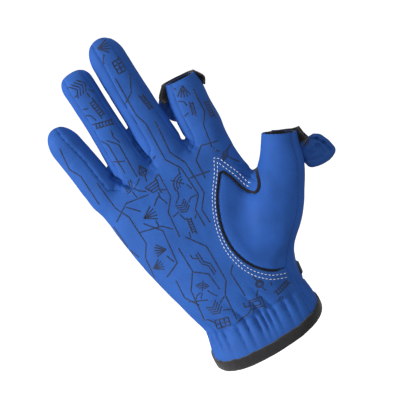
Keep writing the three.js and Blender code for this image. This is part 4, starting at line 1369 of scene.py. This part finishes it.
# The linings turned out round the openings, from one angle to another round the finger, and how far each
# stands off it from its low edge up
INDEX_COLLAR = dict(height=12.0, spread=3.2, past=1.4, slope=0.3, aside=-1.0, start=-12, end=192)
THUMB_COLLAR = dict(height=13.0, spread=5.2, past=3.5, slope=0.9, aside=0.0, start=-14, end=105)
INDEX_COLLAR_SECTIONS = [(0.0, 0.3), (0.4, 1.0), (0.75, 0.45), (1.0, -0.2)]
THUMB_COLLAR_SECTIONS = [(0.0, 0.15), (0.35, 1.0), (0.7, 0.5), (1.0, 0.0)]
COLLAR_CLOTH = 1.0

# Creases on the front of the caps, in XZ: both ends, depth, width
INDEX_CAP_CREASES = [((11, 158), (19, 166), 0.8, 1.2), ((12, 152), (20, 158), 0.5, 1.4)]
THUMB_CAP_CREASES = [
    ((83, 101.8), (88.5, 99.2), 1.8, 0.8), ((88.5, 99.2), (91.5, 94.7), 2.0, 0.8),
    ((91.5, 94.7), (93.6, 88.5), 1.8, 0.8), ((80, 93), (87, 95), 1.4, 1.5),
    ((87, 95), (89, 89), 1.3, 1.4), ((79, 88.5), (86, 87), 0.9, 1.3),
]


def pouch_mesh(size, sections, mouth, lean, creases, seed):
    """A soft cap: a pouch from its closed end up to its mouth, with a hem, creases and a few dents."""
    at = [row[0] for row in sections]
    width, depth = through(at, [row[1] for row in sections]), through(at, [row[2] for row in sections])
    shift = through(at, [row[3] for row in sections])
    around = 132
    angles = np.linspace(0, 2 * math.pi, around, endpoint=False)
    levels = np.concatenate([[0.0, 0.015, 0.05], np.linspace(0.1, 1.0, 44)])
    verts = []
    for k, t in enumerate(levels):
        close = (0.0, 0.55, 0.85)[k] if k < 3 else 1.0
        hem = 0.4 * math.exp(-(((1 - t) * size["length"] - 1.4) / 1.3) ** 2)
        a = (width(t) * size["width"] / 2) * close + hem
        b = (depth(t) * size["depth"] / 2) * close + hem
        c, n = np.cos(angles), np.sin(angles)
        u = np.sign(c) * a * np.abs(c) ** (2 / TUBE_SQUARENESS) + shift(t) * size["width"]
        v = np.sign(n) * b * np.abs(n) ** (2 / TUBE_SQUARENESS)
        along = (t - 1) * size["length"]
        x = mouth[0] - math.sin(lean) * along + math.cos(lean) * u
        z = mouth[2] + math.cos(lean) * along + math.sin(lean) * u
        verts.append(np.stack([x, mouth[1] + v, z], axis=1))
    verts = np.vstack(verts)
    centre = np.array([mouth[0], mouth[1], mouth[2] - size["length"] / 2])
    out = verts - centre
    out /= np.linalg.norm(out, axis=1)[:, None]
    verts = verts + out * (0.45 * ripple(verts, 9.0, seed) + 0.25 * ripple(verts, 4.5, seed + 1))[:, None]
    for first, second, deep, wide in creases:
        distance, _ = segment_distance(verts[:, 0], verts[:, 2], first, second)
        verts[:, 1] += np.where(verts[:, 1] < mouth[1], deep * valley(distance, wide), 0)
    return verts, ring_faces(len(levels), around)


def collar_mesh(tube, length, size, sections, seed):
    """A band of lining turned out round a finger's open end, standing off its sides."""
    spread = through([row[0] for row in sections], [row[1] for row in sections])
    around, levels = 64, np.linspace(0, 1, 22)
    angles = np.radians(np.linspace(size["start"], size["end"], around))
    verts = []
    for up in levels:
        past = size["past"] * (1 - size["slope"] * np.maximum(0, np.sin(angles)))
        s = length + past + (up - 1) * size["height"]
        x, y, z = tube.axis_point(s)
        lean = tube.lean(s)
        fade = np.sin(np.pi * np.clip((angles - angles[0]) / (angles[-1] - angles[0]), 0, 1)) ** 0.3
        stand = 2 * GAP + COLLAR_CLOTH
        a = tube.width(s) / 2 + stand + spread(up) * size["spread"]
        b = tube.depth(s) / 2 + stand
        c, n = np.cos(angles), np.sin(angles)
        u = np.sign(c) * a * np.abs(c) ** (2 / TUBE_SQUARENESS) + size["aside"]
        v = np.sign(n) * b * np.abs(n) ** (2 / TUBE_SQUARENESS)
        uneven = 0.3 * np.sin(7 * angles + 3 * up + seed) * fade
        x = x + np.cos(lean) * (u + uneven)
        verts.append(np.stack([x, y + v + uneven, z + np.sin(lean) * u], axis=1))
    return np.vstack(verts), ring_faces(len(levels), around, closed=False)


# The photo stage: camera, backdrop and lamps, in metres and degrees

TARGET = (0.00123, 0.0, 0.0984)
LENS = 250.0
SENSOR = 36.0
PICTURE_WIDTH = 0.2605
CAMERA_HEIGHT = 8.0
CAMERA_ROLL = 28.0
FLOOR_HEIGHT = -0.16
FLOOR_SIZE = 30.0
WORLD_LIGHT = 0.42
LIGHTS = [
    ("key_light", (-0.9, -0.42, 0.3), 11.0, 0.3),
    ("fill_light", (0.1, -1.1, 0.5), 3.0, 0.5),
    ("top_light", (-0.1, 0.25, 1.0), 2.0, 0.4),
]


def floor_mesh():
    half = FLOOR_SIZE / 2
    verts = [(x, y, FLOOR_HEIGHT) for x, y in ((-half, -half), (half, -half), (half, half), (-half, half))]
    return verts, [(0, 1, 2, 3)]


def floor_material():
    nodes = Nodes("pale_floor")
    nodes.shader.inputs["Base Color"].default_value = (0.96, 0.96, 0.96, 1.0)
    nodes.shader.inputs["Roughness"].default_value = 0.9
    nodes.shader.inputs["Specular IOR Level"].default_value = 0.1
    nodes.shader.inputs["Emission Color"].default_value = (1.0, 1.0, 1.0, 1.0)
    nodes.shader.inputs["Emission Strength"].default_value = 0.7
    return nodes.material


def studio_world():
    """White where the camera sees it, and a softer light on the glove."""
    world = bpy.data.worlds.new("studio")
    world.use_nodes = True
    tree = world.node_tree
    lit = tree.nodes["Background"]
    lit.inputs["Color"].default_value = (1.0, 1.0, 1.0, 1.0)
    lit.inputs["Strength"].default_value = WORLD_LIGHT
    seen = tree.nodes.new("ShaderNodeBackground")
    seen.inputs["Color"].default_value = (1.0, 1.0, 1.0, 1.0)
    seen.inputs["Strength"].default_value = 1.05
    path = tree.nodes.new("ShaderNodeLightPath")
    mix = tree.nodes.new("ShaderNodeMixShader")
    tree.links.new(path.outputs["Is Camera Ray"], mix.inputs[0])
    tree.links.new(lit.outputs["Background"], mix.inputs[1])
    tree.links.new(seen.outputs["Background"], mix.inputs[2])
    tree.links.new(mix.outputs["Shader"], tree.nodes["World Output"].inputs["Surface"])
    return world


# Sizes and colours that a user can change


def length_of(name, description, millimetres):
    return bpy.props.FloatProperty(name=name, description=description, default=millimetres * MM, min=0.0,
                                   precision=5, subtype="DISTANCE", unit="LENGTH")


def colour_of(name, description, rgb):
    return bpy.props.FloatVectorProperty(name=name, description=description, default=rgb, size=3,
                                         min=0.0, max=1.0, subtype="COLOR_GAMMA", unit="NONE")


class GloveSizes(bpy.types.PropertyGroup):
    mesh_step: length_of("Mesh step", "Distance between the points of the cloth's mesh", 1.05)
    cloth: length_of("Cloth", "Thickness of the stretch cloth", 1.1)
    knit: length_of("Knit", "Distance between the ribs of the knit", 0.7)
    gather_depth: length_of("Gather depth", "How deep the gathers at the wrist are", 2.6)
    seam_depth: length_of("Seam depth", "How far the cloth dips at a seam", 0.6)
    edging_height: length_of("Edging height", "How far the black raw edge stands out of the cloth", 0.35)
    stitch_length: length_of("Stitch length", "Length of a stitch that shows", 1.6)
    stitch_gap: length_of("Stitch gap", "Distance between two stitches", 0.95)
    stitch_width: length_of("Stitch width", "Width of the thread", 0.52)
    inner_row: length_of("Inner row", "Distance of the inner stitch row from the inset's edge", 3.4)
    outer_row: length_of("Outer row", "Distance of the outer stitch row from the inset's edge", 5.9)
    line_width: length_of("Line width", "Width of the printed lines", 0.85)
    line_clearance: length_of("Line clearance", "Plain cloth between the print and the inset's edge", 7.4)


class GloveColours(bpy.types.PropertyGroup):
    blue: colour_of("Blue", "Printed cloth", (0.158, 0.365, 0.69))
    blue_shade: colour_of("Blue shade", "Printed cloth where it is a little darker", (0.142, 0.33, 0.635))
    plain_blue: colour_of("Plain blue", "Plain cloth", (0.15, 0.355, 0.69))
    plain_shade: colour_of("Plain shade", "Plain cloth where it is a little darker", (0.13, 0.318, 0.62))
    cap_blue: colour_of("Cap blue", "Cloth of the fingertip caps", (0.14, 0.315, 0.60))
    binding: colour_of("Binding", "Black tape at the cuff and the wrist tab", (0.075, 0.07, 0.08))
    edging: colour_of("Edging", "Black raw edge of the thumb inset", (0.06, 0.065, 0.09))
    lining: colour_of("Lining", "Brushed lining", (0.085, 0.085, 0.095))
    thread: colour_of("Thread", "Stitching", (0.95, 0.96, 0.98))
    ink: colour_of("Ink", "Printed lines", (0.14, 0.17, 0.24))
    ink_faded: colour_of("Faded ink", "Printed lines where the blue shows through", (0.17, 0.27, 0.48))


# Operators, one for each piece or group of like pieces

PANELS = [
    ("palm_panel", "palm", "printed_blue_knit", "printed_cloth", (0.20, 0.30)),
    ("back_panel", "back", "plain_blue_knit", "plain_cloth", (0.24, 0.30)),
    ("thumb_panel", "thumb", "plain_blue_knit", "plain_cloth", (0.10, 0.13)),
    ("side_strip_little_ring", "little_ring", "plain_blue_knit", "plain_cloth", (0.03, 0.09)),
    ("side_strip_ring_middle", "ring_middle", "plain_blue_knit", "plain_cloth", (0.03, 0.10)),
    ("side_strip_middle_index", "middle_index", "plain_blue_knit", "plain_cloth", (0.03, 0.10)),
]


class GLOVE_OT_cloth_panels(bpy.types.Operator):
    """Builds the palm, back and thumb panels and the side strips of the fingers"""

    bl_idname = "glove.cloth_panels"
    bl_label = "Cloth panels"

    def execute(self, context):
        sizes = context.scene.glove_sizes
        panels = glove_panels()
        for node, key, cloth, slot, flat in PANELS:
            skin = panels[key]
            piece = object_of(f"{node}_cloth", in_row(skin["p"]), skin.tris,
                              [material(cloth), material("black_brushed_lining")])
            thickened(piece, sizes.cloth)
            placed(piece, slot, node)
            area = area_of(piece)
            flat = cut_size(flat, area)
        return {"FINISHED"}


class GLOVE_OT_thumb_edging(bpy.types.Operator):
    """Builds the black raw edge between the palm panel and the thumb inset"""

    bl_idname = "glove.thumb_edging"
    bl_label = "Thumb edging"

    def execute(self, context):
        skin = glove_panels()["edging"]
        height = context.scene.glove_sizes.edging_height
        normal = skin["normal"] * (0.7 + 0.5 * ripple(skin["p"], 3.0, 21))[:, None]
        verts = in_row(skin["p"] + normal * height / MM)
        piece = object_of("thumb_edging_tape", verts, skin.tris, [material("black_raw_edge")])
        thickened(piece, EDGE_TAPE * MM, inner=False)
        placed(piece, "black_binding", "thumb_edging")
        return {"FINISHED"}


class GLOVE_OT_cuff_binding(bpy.types.Operator):
    """Builds the black tape folded over the hem"""

    bl_idname = "glove.cuff_binding"
    bl_label = "Cuff binding"

    def execute(self, context):
        verts, faces = binding_mesh()
        piece = object_of("cuff_binding_tape", in_row(verts), faces, [material("black_binding_tape")])
        outward(piece)
        placed(piece, "black_binding", "cuff_binding")
        return {"FINISHED"}


class GLOVE_OT_wrist_tab(bpy.types.Operator):
    """Builds the black tab on the back of the wrist"""

    bl_idname = "glove.wrist_tab"
    bl_label = "Wrist tab"

    def execute(self, context):
        verts, faces = tab_mesh()
        piece = object_of("wrist_tab_tape", in_row(verts), faces, [material("black_binding_tape")])
        outward(piece)
        placed(piece, "black_binding", "wrist_tab")
        return {"FINISHED"}


class GLOVE_OT_fingertip_caps(bpy.types.Operator):
    """Builds the folded-back caps of the index finger and the thumb"""

    bl_idname = "glove.fingertip_caps"
    bl_label = "Fingertip caps"

    def execute(self, context):
        sizes = context.scene.glove_sizes
        index, thumb = FINGERS["index"], TUBES["thumb"]
        x, z = finger_point(index, index["length"] - INDEX_CAP["below"], INDEX_CAP["aside"])
        mouth = (x, INDEX_CAP["behind"], z)
        made = [("index_cap", INDEX_CAP, INDEX_CAP_SECTIONS, mouth, math.radians(index["lean"]),
                 INDEX_CAP_CREASES, 31)]
        x, z = thumb_side(THUMB_CAP["up"], -THUMB_CAP["aside"], 1)
        y = float(thumb.y(THUMB["length"])) + THUMB_CAP["behind"]
        made.append(("thumb_cap", THUMB_CAP, THUMB_CAP_SECTIONS, (x, y, z), math.radians(THUMB_CAP["lean"]),
                     THUMB_CAP_CREASES, 37))
        for node, size, sections, mouth, lean, creases, seed in made:
            verts, faces = pouch_mesh(size, sections, mouth, lean, creases, seed)
            piece = object_of(f"{node}_cloth", in_row(verts), faces,
                              [material("cap_blue_knit"), material("black_brushed_lining")])
            outward(piece)
            thickened(piece, sizes.cloth)
            placed(piece, "plain_cloth", node)
        return {"FINISHED"}


class GLOVE_OT_cap_linings(bpy.types.Operator):
    """Builds the black linings that show at the mouths of the caps"""

    bl_idname = "glove.cap_linings"
    bl_label = "Cap linings"

    def execute(self, context):
        length = FINGERS["index"]["length"]
        made = [
            ("index_cap_lining", TUBES["index"], length, INDEX_COLLAR, INDEX_COLLAR_SECTIONS, 5),
            ("thumb_cap_lining", TUBES["thumb"], THUMB["length"], THUMB_COLLAR, THUMB_COLLAR_SECTIONS, 9),
        ]
        for node, tube, length, size, sections, seed in made:
            verts, faces = collar_mesh(tube, length, size, sections, seed)
            piece = object_of(f"{node}_cloth", in_row(verts), faces, [material("black_brushed_lining")])
            thickened(piece, COLLAR_CLOTH * MM, inner=False)
            placed(piece, "black_lining", node)
        return {"FINISHED"}


class GLOVE_OT_stitching(bpy.types.Operator):
    """Lays the double row of white topstitching round the thumb inset"""

    bl_idname = "glove.stitching"
    bl_label = "Stitching"

    def execute(self, context):
        sizes = context.scene.glove_sizes
        ground = Ground(glove_panels()["palm"])
        for name, distance, start, end in (("inner_stitches", sizes.inner_row, 1.0, 1.5),
                                           ("outer_stitches", sizes.outer_row, 0.5, 0.5)):
            row = stitch_rows(distance / MM, start, end)
            verts, faces = stitches(ground, row, sizes)
            if not faces:
                raise RuntimeError(f"no stitch of {name} met the palm panel")
            piece = object_of(name, flat_in_row(verts), faces, [material("white_thread")])
            outward(piece)
            placed(piece, "printed_cloth")
        return {"FINISHED"}


class GLOVE_OT_line_print(bpy.types.Operator):
    """Lays the thin dark line print on the palm and the fronts of the fingers"""

    bl_idname = "glove.line_print"
    bl_label = "Line print"

    def execute(self, context):
        sizes = context.scene.glove_sizes
        clearance = sizes.line_clearance / MM

        def free(x, z):
            return (z > PRINT_LOW) & (line_distance(x, z, INSET_OUTLINE, closed=True) > clearance)

        def fits(points):
            spots = [ground.at(*point) for point in points[::2]]
            lies = all(spot is not None and spot[1][1] < -0.3 for spot in spots)
            return lies and free(points[:, 0], points[:, 1]).all()

        ground = Ground(glove_panels()["palm"])
        verts, faces = print_ribbons(ground, print_lines(PRINT_SEED, fits), sizes.line_width / MM, free)
        if not faces:
            raise RuntimeError("no printed line met the palm panel")
        piece = object_of("line_print", flat_in_row(verts), faces, [material("line_ink")])
        placed(piece, "printed_cloth")
        return {"FINISHED"}


class GLOVE_OT_photo_stage(bpy.types.Operator):
    """Sets the pale backdrop, the soft lights and the camera"""

    bl_idname = "glove.photo_stage"
    bl_label = "Photo stage"

    def execute(self, context):
        scene = context.scene
        scene.world = studio_world()
        scene.view_settings.view_transform = "Standard"
        scene.view_settings.look = "None"

        ground = object_of("pale_floor", *floor_mesh(), [floor_material()])
        ground.visible_diffuse = False
        ground.visible_glossy = False

        for name, place, energy, size in LIGHTS:
            data = bpy.data.lights.new(name, "AREA")
            data.energy = energy
            data.shape = "DISK"
            data.size = size
            lamp = bpy.data.objects.new(name, data)
            scene.collection.objects.link(lamp)
            lamp.location = place
            aim = Vector(TARGET) - Vector(place)
            lamp.rotation_euler = aim.to_track_quat("-Z", "Y").to_euler()

        camera = bpy.data.objects.new("photo_camera", bpy.data.cameras.new("photo_camera"))
        scene.collection.objects.link(camera)
        camera.data.lens = LENS
        camera.data.sensor_width = SENSOR
        camera.data.clip_end = 20.0
        distance = LENS / SENSOR * PICTURE_WIDTH
        lift = math.radians(CAMERA_HEIGHT)
        away = Vector((0, -math.cos(lift), math.sin(lift)))
        up = Vector((0, math.sin(lift), math.cos(lift)))
        roll = math.radians(CAMERA_ROLL)
        turned_up = up * math.cos(roll) + Vector((1, 0, 0)) * math.sin(roll)
        right = turned_up.cross(away)
        camera.matrix_world = Matrix([
            (right.x, turned_up.x, away.x, 0), (right.y, turned_up.y, away.y, 0),
            (right.z, turned_up.z, away.z, 0), (0, 0, 0, 1),
        ])
        camera.location = Vector(TARGET) + away * distance
        scene.camera = camera
        return {"FINISHED"}


OPERATORS = (GLOVE_OT_cloth_panels, GLOVE_OT_thumb_edging, GLOVE_OT_cuff_binding, GLOVE_OT_wrist_tab,
             GLOVE_OT_fingertip_caps, GLOVE_OT_cap_linings, GLOVE_OT_stitching, GLOVE_OT_line_print,
             GLOVE_OT_photo_stage)


class GLOVE_PT_panel(bpy.types.Panel):
    """Lists the glove's operators, sizes and colours"""

    bl_idname = "GLOVE_PT_panel"
    bl_label = "Fishing glove"
    bl_space_type = "VIEW_3D"
    bl_region_type = "UI"
    bl_category = "Glove"

    def draw(self, context):
        for operator in OPERATORS:
            self.layout.operator(operator.bl_idname)
        for group in (context.scene.glove_sizes, context.scene.glove_colours):
            box = self.layout.box()
            for name in group.__annotations__:
                box.prop(group, name)


CLASSES = (GloveSizes, GloveColours, *OPERATORS, GLOVE_PT_panel)


def register():
    for cls in CLASSES:
        bpy.utils.register_class(cls)
    bpy.types.Scene.glove_sizes = bpy.props.PointerProperty(type=GloveSizes)
    bpy.types.Scene.glove_colours = bpy.props.PointerProperty(type=GloveColours)


def unregister():
    del bpy.types.Scene.glove_colours
    del bpy.types.Scene.glove_sizes
    for cls in reversed(CLASSES):
        bpy.utils.unregister_class(cls)


def corners(box):
    return [[float(value) for value in corner] for corner in box]


def main():
    register()
    bpy.ops.glove.cloth_panels()
    bpy.ops.glove.thumb_edging()
    bpy.ops.glove.cuff_binding()
    bpy.ops.glove.wrist_tab()
    bpy.ops.glove.fingertip_caps()
    bpy.ops.glove.cap_linings()
    bpy.ops.glove.stitching()
    bpy.ops.glove.line_print()
    bpy.ops.glove.photo_stage()


if __name__ == "__main__":
    main()
